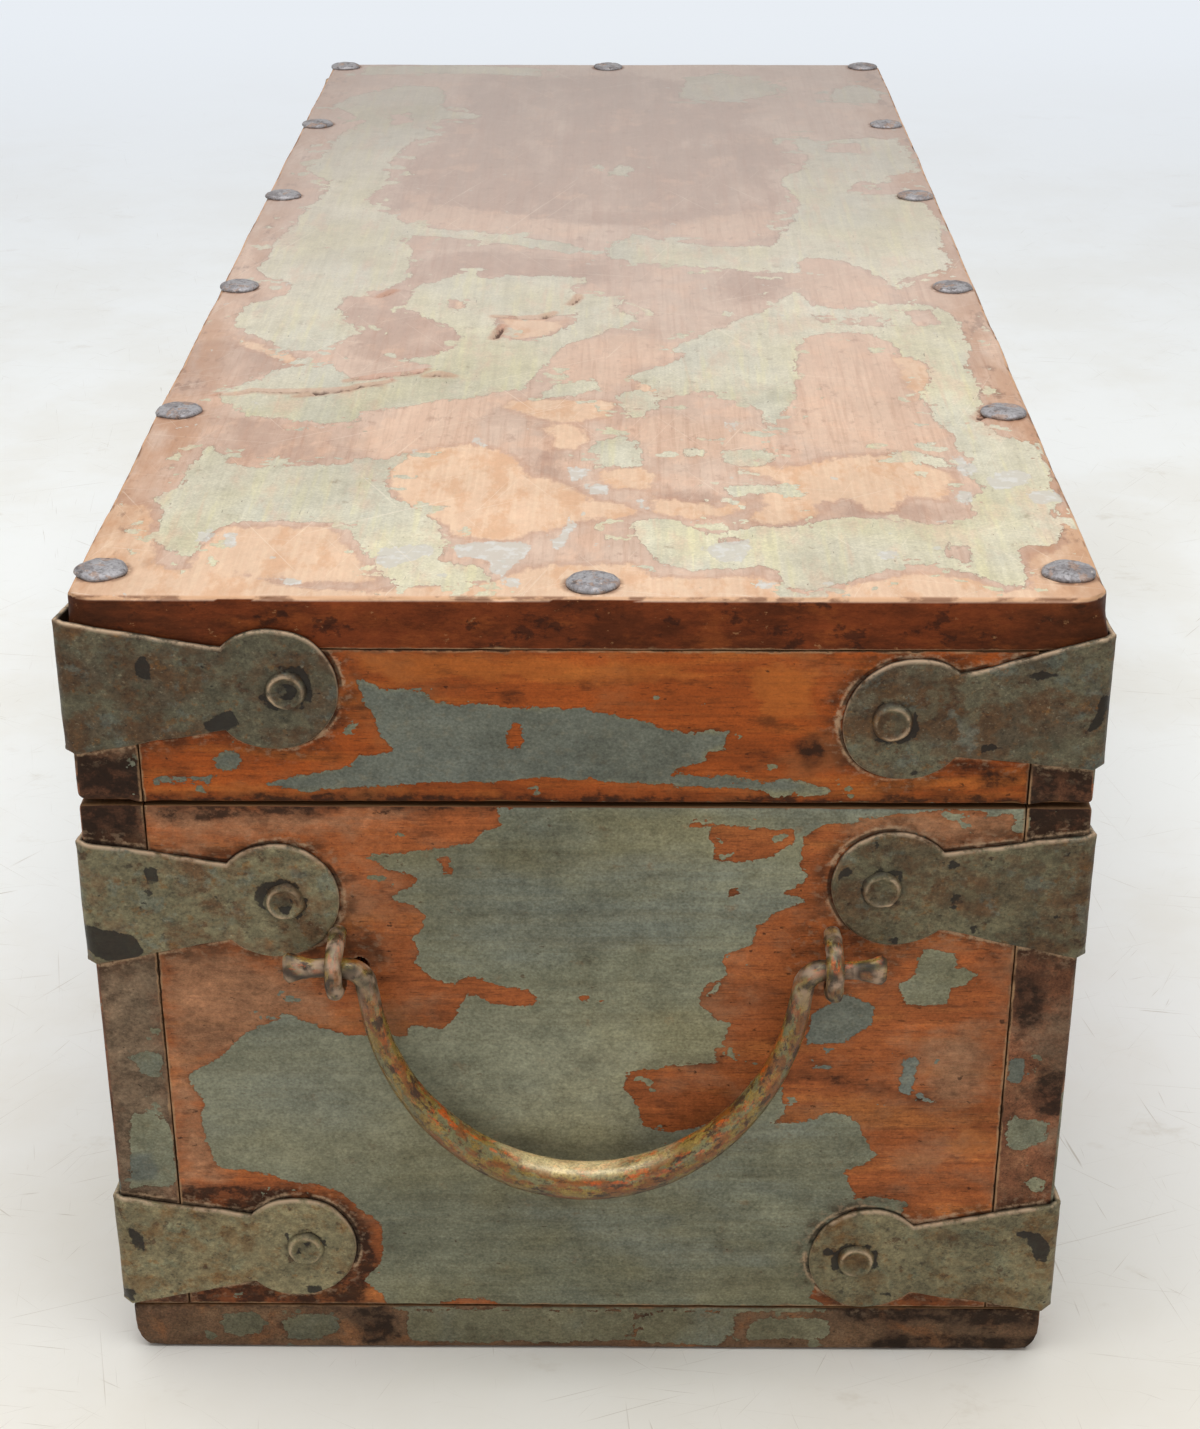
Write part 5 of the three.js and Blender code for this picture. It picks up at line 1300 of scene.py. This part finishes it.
def crack_the_top(points, normals, marks):
    """Opens the board's cracks, lifts the splintered wood beside them, and marks its sawn sides."""
    upper = normals[:, 2] > 0.6
    flat = points[:, :2] + 0.7 * np.column_stack([lumps(points, 5, 81), lumps(points, 5, 82)])
    slit, lip = np.full(len(points), -5.0), np.zeros(len(points))
    for line, width in TOP_CRACKS:
        gap, share = distance_to_line(flat, line)
        taper = width * np.clip(4 * np.minimum(share, 1 - share) + 0.25, 0, 1)
        slit = np.maximum(slit, taper - gap)
        lip = np.maximum(lip, width * np.exp(-(np.maximum(gap - taper, 0) / 2.2)))
    torn = np.clip(slit + 0.5, 0, 1)
    points[:, 2] += np.where(upper, 0.55 * lip * (1 + lumps(points, 6, 83)) * (1 - torn) - 1.6 * torn, 0)
    turn = 9.0
    off = np.clip((np.abs(points[:, :2]) - (HALF_WIDTH - turn, HALF_LENGTH - turn)) / turn, 0, 1)
    reach = np.linalg.norm(off, axis=1)
    above = np.clip((points[:, 2] - 199.5) / 5, 0, 1)
    pull = (off * np.clip(1 - 1 / np.maximum(reach, 1), 0, 1)[:, None]) * turn * above[:, None]
    points[:, :2] -= np.sign(points[:, :2]) * pull
    marks["slit"] = np.where(upper, slit, -5.0)
    marks["side"] = (np.abs(normals[:, 2]) < 0.5).astype(float)
    return points


def build_lid():
    """The lid's rails and its cracked top board."""
    for seed, end in enumerate(END_SIGN, 6):
        nail_a_board(f"lid_{end}_rail", "lid", lid_end_pine, "pine_varnished", *END_SETTINGS[end], seed,
                     tight=((0, 0), (0, 1), (2, 1)), grown=RAIL_LAP)
    for seed, (side, inner) in enumerate(INNER_EDGE.items(), 8):
        nail_a_board(f"lid_{side}_rail", "lid", side_pine, "pine_varnished", *SIDE_SETTINGS, seed, 1.2,
                     tight=((0, inner), (2, 1)))
    cracked = {0: [(-104.0, -36.0, 0.9), (-30.0, -3.0, 0.9)],
               1: [(-151.0, -118.0, 0.8), (-99.0, -51.0, 0.9)]}
    nail_a_board("lid_top_board", "lid", top_pine, "pine_top", (2.2, 2.2, 2.2), 2.1, 10.0, 1.1,
                 fine=cracked, shape=crack_the_top, tight=((2, 0),))


# Inner radius of a strap's bend
BEND = 1.2


def bent(along, up, out, side, end):
    """A point of a strap: distance from the corner (end arm positive), height, and lift."""
    middle = np.array((side * (HALF_WIDTH - BEND), end * (HALF_LENGTH - BEND)))
    arc = (BEND + STRAP_LIFT / 2) * math.pi / 4
    turn = np.clip((1 - along / arc), 0, 2) * math.pi / 4
    way = np.stack([np.sin(turn) * side, np.cos(turn) * end], 1)
    flat = middle + way * (BEND + out)[:, None]
    flat[:, 0] -= side * np.clip(along - arc, 0, None)
    flat[:, 1] -= end * np.clip(-along - arc, 0, None)
    return np.column_stack([flat, up])


def strap_points(outline):
    """A flat mesh inside an outline, close along its edge and at the bend."""
    rim = np.array(outline)
    ahead, behind = np.roll(rim, -1, 0), np.roll(rim, 1, 0)
    way = ahead - behind
    way /= np.maximum(np.linalg.norm(way, axis=1, keepdims=True), 1e-9)
    inward = np.column_stack([way[:, 1], -way[:, 0]])
    if inside_by(rim[:1] + inward[:1] * 0.5, [outline])[0] < 0:
        inward = -inward
    inner = [rim]
    for depth in (0.3, 0.8, 1.5):
        ring = rim + inward * depth
        inner.append(ring[inside_by(ring, [outline]) > depth * 0.9])
    xs = np.concatenate([np.arange(rim[:, 0].min(), rim[:, 0].max(), 2.0), np.linspace(-2.2, 2.2, 9)])
    zs = np.arange(rim[:, 1].min(), rim[:, 1].max(), 2.0)
    field = np.stack(np.meshgrid(xs, zs, indexing="ij"), -1).reshape(-1, 2)
    inner.append(field[inside_by(field, [outline]) > 2.2])
    points = np.concatenate(inner)
    count = len(rim)
    ring = [(i, (i + 1) % count) for i in range(count)]
    found = geometry.delaunay_2d_cdt([Vector(p) for p in points], ring, [], 1, 1e-4)
    return np.array([tuple(v) for v in found[0]]), [tuple(f) for f in found[2]]


def edge_facing(points, outline):
    """Which way the nearest edge of an outline faces, for each flat point."""
    start, end = edges_of(outline)
    run = end - start
    off = points[:, None, :] - start[None]
    share = np.clip((off * run).sum(-1) / np.maximum((run ** 2).sum(1), 1e-9), 0, 1)
    nearest = ((off - share[..., None] * run) ** 2).sum(-1).argmin(1)
    way = run[nearest] / np.maximum(np.linalg.norm(run[nearest], axis=1, keepdims=True), 1e-9)
    middle = start[nearest] + run[nearest] / 2
    facing = np.column_stack([way[:, 1], -way[:, 0]])
    wrong = inside_by(middle + facing * 0.2, [outline]) > 0
    return np.where(wrong[:, None], -facing, facing)


def rivet(seed, seat, top):
    """A hammered rivet head: a low uneven ring round a rough dish."""
    rise = top - seat
    shape = [(4.75, -0.3), (4.65, 0.1), (4.4, 0.5), (4.1, 0.85), (3.75, 1.0), (3.4, 0.92), (3.0, 0.66),
             (2.5, 0.42), (1.8, 0.34), (1.1, 0.4), (0.5, 0.46)]
    points, faces = turned([(radius, seat + share * rise) for radius, share in shape], 36, seed, 0.13)
    radius = np.linalg.norm(points[:, :2], axis=1)
    rough = points + (seed * 13.0, 0, 0)
    ring = np.clip(1 - np.abs(radius - 3.75) / 0.5, 0, 1)
    dust = ring * np.clip(0.62 + 1.3 * lumps(rough, 4.5, seed), 0, 1)
    pit = np.clip(1.5 - radius / 2.4, 0, 1) * np.clip(0.55 + 1.2 * lumps(rough, 3.0, seed + 3), 0.1, 1)
    # Painted contact shade round the rim where the head meets the sheet
    foot_shade = np.clip((radius - 4.3) / 0.3, 0, 1) * 0.8
    dents = 0.3 * lumps(rough, 1.6, seed + 5) * np.clip(3.4 - radius, 0, 1)
    points[:, 2] = np.minimum(points[:, 2] + dents, top + 0.1)
    blot = (0.3 if seed % 4 == 0 else -0.9) + 1.9 * lumps(rough, 4, seed + 7) - np.abs(radius - 1.6)
    return points, faces, {"dust": dust, "dark": np.maximum(pit, foot_shade), "blot": blot}


ARM_WAYS = {
    "near": (np.array((0, -1.0, 0)), np.array((1.0, 0, 0))),
    "far": (np.array((0, 1.0, 0)), np.array((-1.0, 0, 0))),
    "hinge": (np.array((-1.0, 0, 0)), np.array((0, -1.0, 0))),
    "hasp": (np.array((1.0, 0, 0)), np.array((0, 1.0, 0))),
}
UP = np.array((0, 0, 1.0))


def rivet_place(row, side, end, arm):
    """Where a strap's rivet stands on its face."""
    height, slope, reach_share, rivet_share = STRAPS[row, side]
    reach = STRAP_REACH * reach_share * rivet_share
    if arm == "end":
        return np.array((SIDE_SIGN[side] * (HALF_WIDTH - reach), END_SIGN[end] * HALF_LENGTH,
                         height + slope * reach))
    return np.array((SIDE_SIGN[side] * HALF_WIDTH, END_SIGN[end] * (HALF_LENGTH - reach),
                     height - slope * reach))


def bend_a_strap(row, side, end, seed):
    """A strap cut from sheet iron and hammered round a corner, with its own rivets."""
    outline = [(w, z) for w, z in strap_on_face(row, side, "end")]
    other = [(-w, z) for w, z in strap_on_face(row, side, "side")]
    outline = outline[1:-1] + other[1:-1][::-1]
    rough = np.array([(*p, seed * 31.0) for p in outline])
    shake = lumps(rough, 9, seed) * 0.45 + lumps(rough, 3, seed + 1) * 0.15
    outline = [(w, z + s) for (w, z), s in zip(outline, shake)]
    flat, faces = strap_points(outline)
    depth = np.maximum(inside_by(flat, [outline]), 0)
    edge = 0.55
    sag = edge - np.sqrt(np.maximum(edge ** 2 - np.clip(edge - depth, 0, edge) ** 2, 0))
    solid = np.column_stack([flat, np.full(len(flat), seed * 31.0)])
    dents = 0.16 * (1 + lumps(solid, 15, seed + 2)) + 0.07 * (1 + lumps(solid, 4, seed + 3))
    lift = STRAP_LIFT - sag - dents * np.clip(depth / 2, 0.25, 1)
    count = len(flat)
    top = bent(flat[:, 0], flat[:, 1], lift, SIDE_SIGN[side], END_SIGN[end])
    under = bent(flat[:, 0], flat[:, 1], np.full(count, 0.12), SIDE_SIGN[side], END_SIGN[end])
    borders = {}
    for face in faces:
        for a, b in zip(face, face[1:] + face[:1]):
            borders[a, b] = True
    wall = [(b, a, a + count, b + count) for a, b in borders if (b, a) not in borders]
    skin = list(faces) + [tuple(i + count for i in reversed(f)) for f in faces] + wall
    upward = np.clip(edge_facing(flat, outline)[:, 1], 0, 1)
    rim = np.exp(-(depth / (0.14 + 0.2 * upward)) ** 2)
    dust = np.concatenate([rim * (0.45 + 0.55 * upward), np.zeros(count)])
    rivet_marks = []
    for arm, sign in (("end", 1), ("side", -1)):
        place = rivet_place(row, side, end, arm)
        reach = STRAP_REACH * STRAPS[row, side][2] * STRAPS[row, side][3]
        rivet_marks.append(np.linalg.norm(flat - (sign * reach, place[2]), axis=1))
    gap = np.min(rivet_marks, 0)
    crescent = 0.5 + 1.9 * lumps(solid, 7, seed + 5) - np.abs(gap - 5.0)
    drawn = inside_by(np.column_stack([np.abs(flat[:, 0]), flat[:, 1]]), STRAP_BLOTS[row, side])
    blot = np.concatenate([np.maximum(crescent, drawn), np.full(count, -UNDRAWN)])
    # Painted shade: a dark ring on the sheet round each rivet, and the sheet's underside dark so that its
    # edge wall darkens towards the wood
    dark = np.concatenate([np.clip(1 - (gap - 3.9) / 1.3, 0, 1) * 0.8, np.ones(count)])
    shade = STRAP_SHADE[row, side]
    parts = [(np.concatenate([top, under]), skin,
              {"dust": dust, "dark": dark, "blot": blot, "shade": np.full(2 * count, shade)})]
    for arm, face in (("end", end), ("side", side)):
        out, across = ARM_WAYS[face]
        loose = arm == "end" and end == "near"
        points, head, marks = rivet(seed + len(arm), RIVET_SEAT, RIVET_TOP)
        marks["shade"] = np.full(len(points), shade)
        placed = laid_on(points, rivet_place(row, side, end, arm), out, across, UP)
        if loose:
            make_piece(f"{row}_rivet_{end}_{side}_head", placed, head, marks, [STRAP_IRON[row]],
                       "lid" if row == "lid" else "chest",
                       [f"{row}_rivet_{end}_{side}"])
        else:
            parts.append((placed, head, marks))
    points, skin, marks = joined(parts)
    name = f"{row}_strap_{end}_{side}"
    piece = make_piece(name + "_sheet", points, skin, marks, [STRAP_IRON[row]],
                       "lid" if row == "lid" else "chest", [name])
    fix_normals(piece)


def fix_normals(piece):
    """Turns a piece's faces outward."""
    net = bmesh.new()
    net.from_mesh(piece.data)
    bmesh.ops.recalc_face_normals(net, faces=net.faces)
    net.to_mesh(piece.data)
    net.free()


def build_straps():
    """Three straps at each of the four corners."""
    seed = 1.0
    for row, side in STRAPS:
        for end in END_SIGN:
            bend_a_strap(row, side, end, seed)
            seed += 1


# The bail's half width and depth, its ears' bend and tips, and its bar's half thickness
HALF_SPAN, REACH, EAR_BEND, EAR_TIP = 50.5, 59.6, 5.0, 69.5
END_RADIUS, GRIP_RADIUS = 2.8, 4.9


def handle_line():
    """Half an ellipse between two ears that turn outward, as across and up."""
    half = [(EAR_TIP - s, 0.0) for s in np.linspace(0, EAR_TIP - HALF_SPAN - EAR_BEND, 14)]
    for t in np.linspace(math.pi / 2, math.pi, 9)[1:]:
        half.append((HALF_SPAN + EAR_BEND + EAR_BEND * math.cos(t), EAR_BEND * math.sin(t) - EAR_BEND))
    first = math.asin(EAR_BEND / REACH)
    for t in np.linspace(first, math.pi / 2, 46)[1:]:
        half.append((HALF_SPAN * math.cos(t), -REACH * math.sin(t)))
    return half + [(-x, z) for x, z in half[-2::-1]]


def forge_a_handle(end):
    """A bail of round bar: thin at its ears, thick at the grip, its tips hammered flat."""
    line = np.array(handle_line())
    way = np.gradient(line, axis=0)
    way /= np.linalg.norm(way, axis=1, keepdims=True)
    sign = END_SIGN[end]
    out = np.array((0, sign, 0.0))
    path, frames, rings = [], [], []
    for (x, z), (dx, dz) in zip(line, way):
        from_tip = EAR_TIP - abs(x) if z > -1e-6 else 99
        hang = min(-z / REACH, 1)
        radius = END_RADIUS + (GRIP_RADIUS - END_RADIUS) * hang ** 2
        flare = max(0.0, 1 - from_tip / 7.0)
        tall = radius + (4.9 - END_RADIUS) * flare ** 1.5
        deep = radius + (3.3 - END_RADIUS) * flare ** 1.5
        if from_tip < 1.2:
            tall, deep = tall * (0.72 + 0.23 * from_tip), deep * (0.6 + 0.33 * from_tip)
        path.append(np.array((x, sign * (HALF_LENGTH + HANDLE_OUT), HANDLE_Z + z)))
        frames.append((np.array((-dz, 0, dx)), out))
        rings.append((tall, deep))
    near_tip = np.array([np.clip((abs(place[0]) - 54) / 6, 0, 1) for place in path])
    points, faces, marks = sweep(path, frames, rings, 1.0 + sign, 28,
                                 1 + 1.4 * np.repeat(near_tip, 28))
    near_ear = np.clip((points[:, 2] - HANDLE_Z + 12) / 10, 0, 1)
    marks["dust"] = near_ear * np.clip(0.45 + lumps(points, 4, 5.0) * 1.8, 0, 1) * 0.9
    marks["dark"] = near_ear * np.clip(lumps(points, 3, 6.0) * 4 + 0.3, 0, 1)
    # Where hands wore the grip's upper side, also the place of a painted highlight
    marks["grip"] = np.clip((HANDLE_Z - 40 - points[:, 2]) / 12, 0, 1) * np.clip(-marks["under"], 0, 1)
    piece = make_piece(f"{end}_handle_bar", points, faces, marks,
                       [handle_iron], f"{end}_handle", [f"{end}_handle"])
    fix_normals(piece)


def drive_a_staple(name, body, centre, out, across, half, straight, radius, seed, material):
    """A wire staple, bent by hand round the bar that it holds."""
    line = [(d, -half) for d in np.linspace(-2.5, straight, 8)]
    line += [(straight + half * math.cos(t), half * math.sin(t))
             for t in np.linspace(-math.pi / 2, math.pi / 2, 17)[1:-1]]
    line += [(d, half) for d in np.linspace(straight, -2.5, 8)]
    line = np.array(line)
    way = np.gradient(line, axis=0)
    way /= np.linalg.norm(way, axis=1, keepdims=True)
    path = [centre + out * d + UP * u for d, u in line]
    frames = [(-out * dz + UP * dx, across) for dx, dz in way]
    points, faces, marks = sweep(path, frames, [(radius + 0.25, radius + 0.35)] * len(path), seed, 22, 2.6)
    past = np.maximum((points - centre) @ out - (straight + half + radius), 0)
    points = points - np.outer(past, out)
    marks["dust"] = np.clip(0.45 + lumps(points, 3, seed + 2) * 2.0, 0, 1) * 0.9
    marks["dark"] = np.clip(lumps(points, 2.4, seed + 3) * 5 + 0.3, 0, 1)
    marks["grip"] = np.zeros(len(points))
    piece = make_piece(name + "_wire", points, faces, marks, [material], body, [name])
    fix_normals(piece)


def hang_the_handles():
    """Both handles in their staples, and the lid's staple for the hasp."""
    for end, sign in END_SIGN.items():
        forge_a_handle(end)
        out, across = ARM_WAYS[end]
        for side, side_sign in SIDE_SIGN.items():
            centre = np.array((side_sign * STAPLE_PLACE, sign * HALF_LENGTH, HANDLE_Z))
            drive_a_staple(f"{end}_staple_{side}", "chest", centre, out, across, 5.6, HANDLE_OUT, 2.3,
                           7.0 + sign + side_sign * 3, handle_iron)
    centre = np.array((HALF_WIDTH, 0, 175.9))
    drive_a_staple("lid_staple", "lid", centre, np.array((1.0, 0, 0)), np.array((0, 1.0, 0)),
                   7.0, 4.4, 2.0, 15.0, dark_iron)


NAIL_SUNK, NAIL_TOP = 0.05, 2.28


def drive_the_nails():
    """The low worn heads along the lid's edges."""
    profile = [(5.75, -0.2), (5.95, 0.1), (5.9, 0.45), (5.5, 0.85), (4.8, 1.15), (3.9, 1.35),
               (2.6, 1.5), (1.2, 1.55)]
    names = [f"lid_nail_{side}_{n}" for side in ("hinge", "hasp") for n in range(1, 7)]
    names += ["lid_nail_near", "lid_nail_far"]
    for seed, (name, place) in enumerate(zip(names, NAIL_PLACES)):
        points, faces = turned(profile, 32, seed * 2.3 + 1, 0.09)
        points[:, 2] = np.minimum(points[:, 2] - NAIL_SUNK, NAIL_TOP)
        middle = np.array((*place, LID_TOP))
        make_piece(name + "_head", points + middle, faces, {}, [dark_iron], "lid", [name])


def wear_a_copy(node, body, material, seed, voxel=0.5):
    """A small forged piece whose edges are rounded and whose faces are hammered."""
    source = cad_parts[node]
    mesh = source.data.copy()
    mesh.name = node + "_forged"
    piece = bpy.data.objects.new(node + "_forged", mesh)
    bpy.context.scene.collection.objects.link(piece)
    mesh.materials.clear()
    mesh.materials.append(material)
    remesh = piece.modifiers.new("Remesh", "REMESH")
    remesh.mode = "VOXEL"
    remesh.voxel_size = voxel * MM
    smooth = piece.modifiers.new("Smooth", "SMOOTH")
    smooth.factor = 0.6
    smooth.iterations = 4
    bpy.context.view_layer.update()
    graph = bpy.context.evaluated_depsgraph_get()
    worn = bpy.data.meshes.new_from_object(piece.evaluated_get(graph))
    piece.modifiers.clear()
    piece.data = worn
    points = np.array([v.co for v in worn.vertices]) / MM
    normals = np.array([v.normal for v in worn.vertices])
    depth = 0.07 * (1 + lumps(points, 7, seed)) + 0.04 * (1 + lumps(points, 2.2, seed + 1))
    points -= normals * depth[:, None]
    worn.vertices.foreach_set("co", (points * MM).ravel())
    for mark, values in (("blot", np.full(len(points), -UNDRAWN)),
                         ("dust", np.clip(lumps(points, 6, seed + 2) * 2 - 0.5, 0, 1) * 0.6),
                         ("dark", np.clip(lumps(points, 5, seed + 3) * 3 - 0.6, 0, 1))):
        worn.attributes.new(mark, "FLOAT", "POINT").data.foreach_set("value", values.astype(np.float32))
    worn.polygons.foreach_set("use_smooth", [True] * len(worn.polygons))
    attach(piece, body)
    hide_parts(node)


def fit_hinges_and_hasp():
    """Worn copies of the small iron parts on the long sides."""
    for number, end in enumerate(END_SIGN):
        wear_a_copy(f"{end}_hinge_body_leaf", "chest", upper_iron, 21.0 + number)
        wear_a_copy(f"{end}_hinge_pin", "chest", dark_iron, 23.0 + number, 0.4)
        wear_a_copy(f"{end}_hinge_lid_leaf", "lid", lid_iron, 25.0 + number)
    wear_a_copy("hasp_plate", "chest", upper_iron, 27.0)
    wear_a_copy("hasp_pin", "chest", dark_iron, 28.0, 0.4)
    wear_a_copy("hasp_strap", "hasp", lid_iron, 29.0)


build_case()
build_lid()
build_straps()
hang_the_handles()
drive_the_nails()
fit_hinges_and_hasp()


# Studio


def paint_the_studio(name):
    """A pale worn table top that runs up into a bluish white wall."""
    material, tree, look = new_look(name, "#E6DAC5", 0.6)
    where = add(tree, "TexCoord", out="Object")
    along = add(tree, "SeparateXYZ", {0: where}, out="Y")
    # Painted shade: the table top keeps a warmer, darker tone in front of the chest and turns white behind
    # it
    stain(tree, look, where_above(tree, along, -0.65, -0.05), 1.0, "#F1F2F0")
    stain(tree, look, where_above(tree, along, -0.8, -1.4), 1.0, "#F1F2F0")
    dab(tree, look, ((160, 160, 160), 0.42, 0.65, 71.0, 6.0, 0.62), 0.3, "#DDD5C4")
    for number, turn in enumerate((8, 41, 77, -22, -55)):
        scratch = ((120, 1.6, 9), 0.7, 0.78, 72.0 + number, 2.5, 0.55, 2.6, turn)
        dab(tree, look, scratch, 0.45, "#9A8970")
    for number, turn in enumerate((-12, 30, 84, -66)):
        scratch = ((50, 0.9, 9), 0.72, 0.8, 82.0 + number, 2.0, 0.5, 1.8, turn)
        dab(tree, look, scratch, 0.35, "#A0917C")
    dab(tree, look, ((60, 40, 20), 0.6, 0.72, 90.0, 6.0, 0.7), 0.25, "#B5A48A")
    surface = add(tree, "BsdfPrincipled", {
        "Base Color": look["colour"], "Roughness": 0.6, "Specular IOR Level": 0.2})
    shown = add(tree, "Emission", {"Color": linear("#E9EEF4"), "Strength": 1.0})
    away = add(tree, "VectorMath", {0: where}, out="Value", operation="LENGTH")
    away = add(tree, "Math", {0: away, 1: 0.5}, operation="SUBTRACT")
    away = add(tree, "Math", {0: away, 1: along}, operation="MAXIMUM")
    away = both(tree, where_above(tree, away, 0.2, 1.5), add(tree, "LightPath", out="Is Camera Ray"))
    add_output(tree, add(tree, "MixShader", {0: away, 1: surface, 2: shown}))
    return material


def build_studio():
    """Floor and wall as one bent sheet."""
    run, rise, bend = 2600.0, 2600.0, 700.0
    line = [(-4000.0, 0.0), (-700.0, 0.0), (run - bend, 0.0)]
    line += [(run - bend + bend * math.sin(t), bend - bend * math.cos(t))
             for t in np.linspace(0, math.pi / 2, 14)[1:]]
    line += [(run, rise)]
    points = [(x, y, z - 0.15) for y, z in line for x in (-4000.0, 4000.0)]
    faces = [(2 * i, 2 * i + 1, 2 * i + 3, 2 * i + 2) for i in range(len(line) - 1)]
    mesh = bpy.data.meshes.new("studio_sheet")
    mesh.from_pydata([tuple(np.array(p) * MM) for p in points], [], faces)
    mesh.materials.append(paint_the_studio("studio_paint"))
    mesh.polygons.foreach_set("use_smooth", [True] * len(mesh.polygons))
    sheet = bpy.data.objects.new("studio_sheet", mesh)
    bpy.context.scene.collection.objects.link(sheet)


def area_light(name, place, target, size, power, colour="#FFFFFF"):
    """A soft lamp turned to its target."""
    data = bpy.data.lights.new(name, "AREA")
    data.shape = "RECTANGLE"
    data.size, data.size_y = size[0] * MM, size[1] * MM
    data.energy = power
    data.color = linear(colour)[:3]
    light = bpy.data.objects.new(name, data)
    bpy.context.scene.collection.objects.link(light)
    light.location = Vector(place) * MM
    way = (Vector(target) - Vector(place)).normalized()
    light.rotation_euler = way.to_track_quat("-Z", "Y").to_euler()


def light_the_studio():
    """Even light from all round, with soft lamps above and in front."""
    world = bpy.data.worlds.new("studio_air")
    bpy.context.scene.world = world
    world.use_nodes = True
    tree = world.node_tree
    tree.nodes.clear()
    camera_ray = add(tree, "LightPath", out="Is Camera Ray")
    fill = add(tree, "Background", {"Color": linear("#F2F4F6"), "Strength": 0.45})
    seen = add(tree, "Background", {"Color": linear("#E6EDF4"), "Strength": 1.0})
    shown = add(tree, "MixShader", {0: camera_ray, 1: fill, 2: seen})
    output = tree.nodes.new("ShaderNodeOutputWorld")
    tree.links.new(shown, output.inputs["Surface"])
    area_light("light_above", (-40, -250, 1700), (0, -50, 150), (1900, 1500), 30)
    area_light("light_front", (-300, -1280, 80), (0, -280, 100), (900, 120), 0.8)


# Worked out from the chest's straight edges and corners in the photograph
CAMERA_PLACE = Vector((8.51, -777.47, 423.76))
CAMERA_YAW, CAMERA_PITCH, CAMERA_ROLL = (math.radians(a) for a in (-0.57, 26.16, 0.081))
FOCAL_PIXELS, LONG_SIDE, SENSOR = 2495.3, 1429, 36.0


def place_the_camera():
    """The photograph's viewpoint."""
    data = bpy.data.cameras.new("camera")
    data.sensor_width = SENSOR
    data.lens = FOCAL_PIXELS / LONG_SIDE * SENSOR
    data.clip_start, data.clip_end = 0.01, 30
    camera = bpy.data.objects.new("camera", data)
    bpy.context.scene.collection.objects.link(camera)
    ahead = Vector((math.sin(CAMERA_YAW) * math.cos(CAMERA_PITCH),
                    math.cos(CAMERA_YAW) * math.cos(CAMERA_PITCH), -math.sin(CAMERA_PITCH)))
    right = Vector((math.cos(CAMERA_YAW), -math.sin(CAMERA_YAW), 0))
    up = right.cross(ahead)
    turn = Matrix((right, up, -ahead)).transposed() @ Matrix.Rotation(-CAMERA_ROLL, 3, "Z")
    camera.matrix_world = Matrix.Translation(CAMERA_PLACE * MM) @ turn.to_4x4()
    bpy.context.scene.camera = camera


build_studio()
light_the_studio()
place_the_camera()

bpy.context.scene.view_settings.view_transform = "Standard"
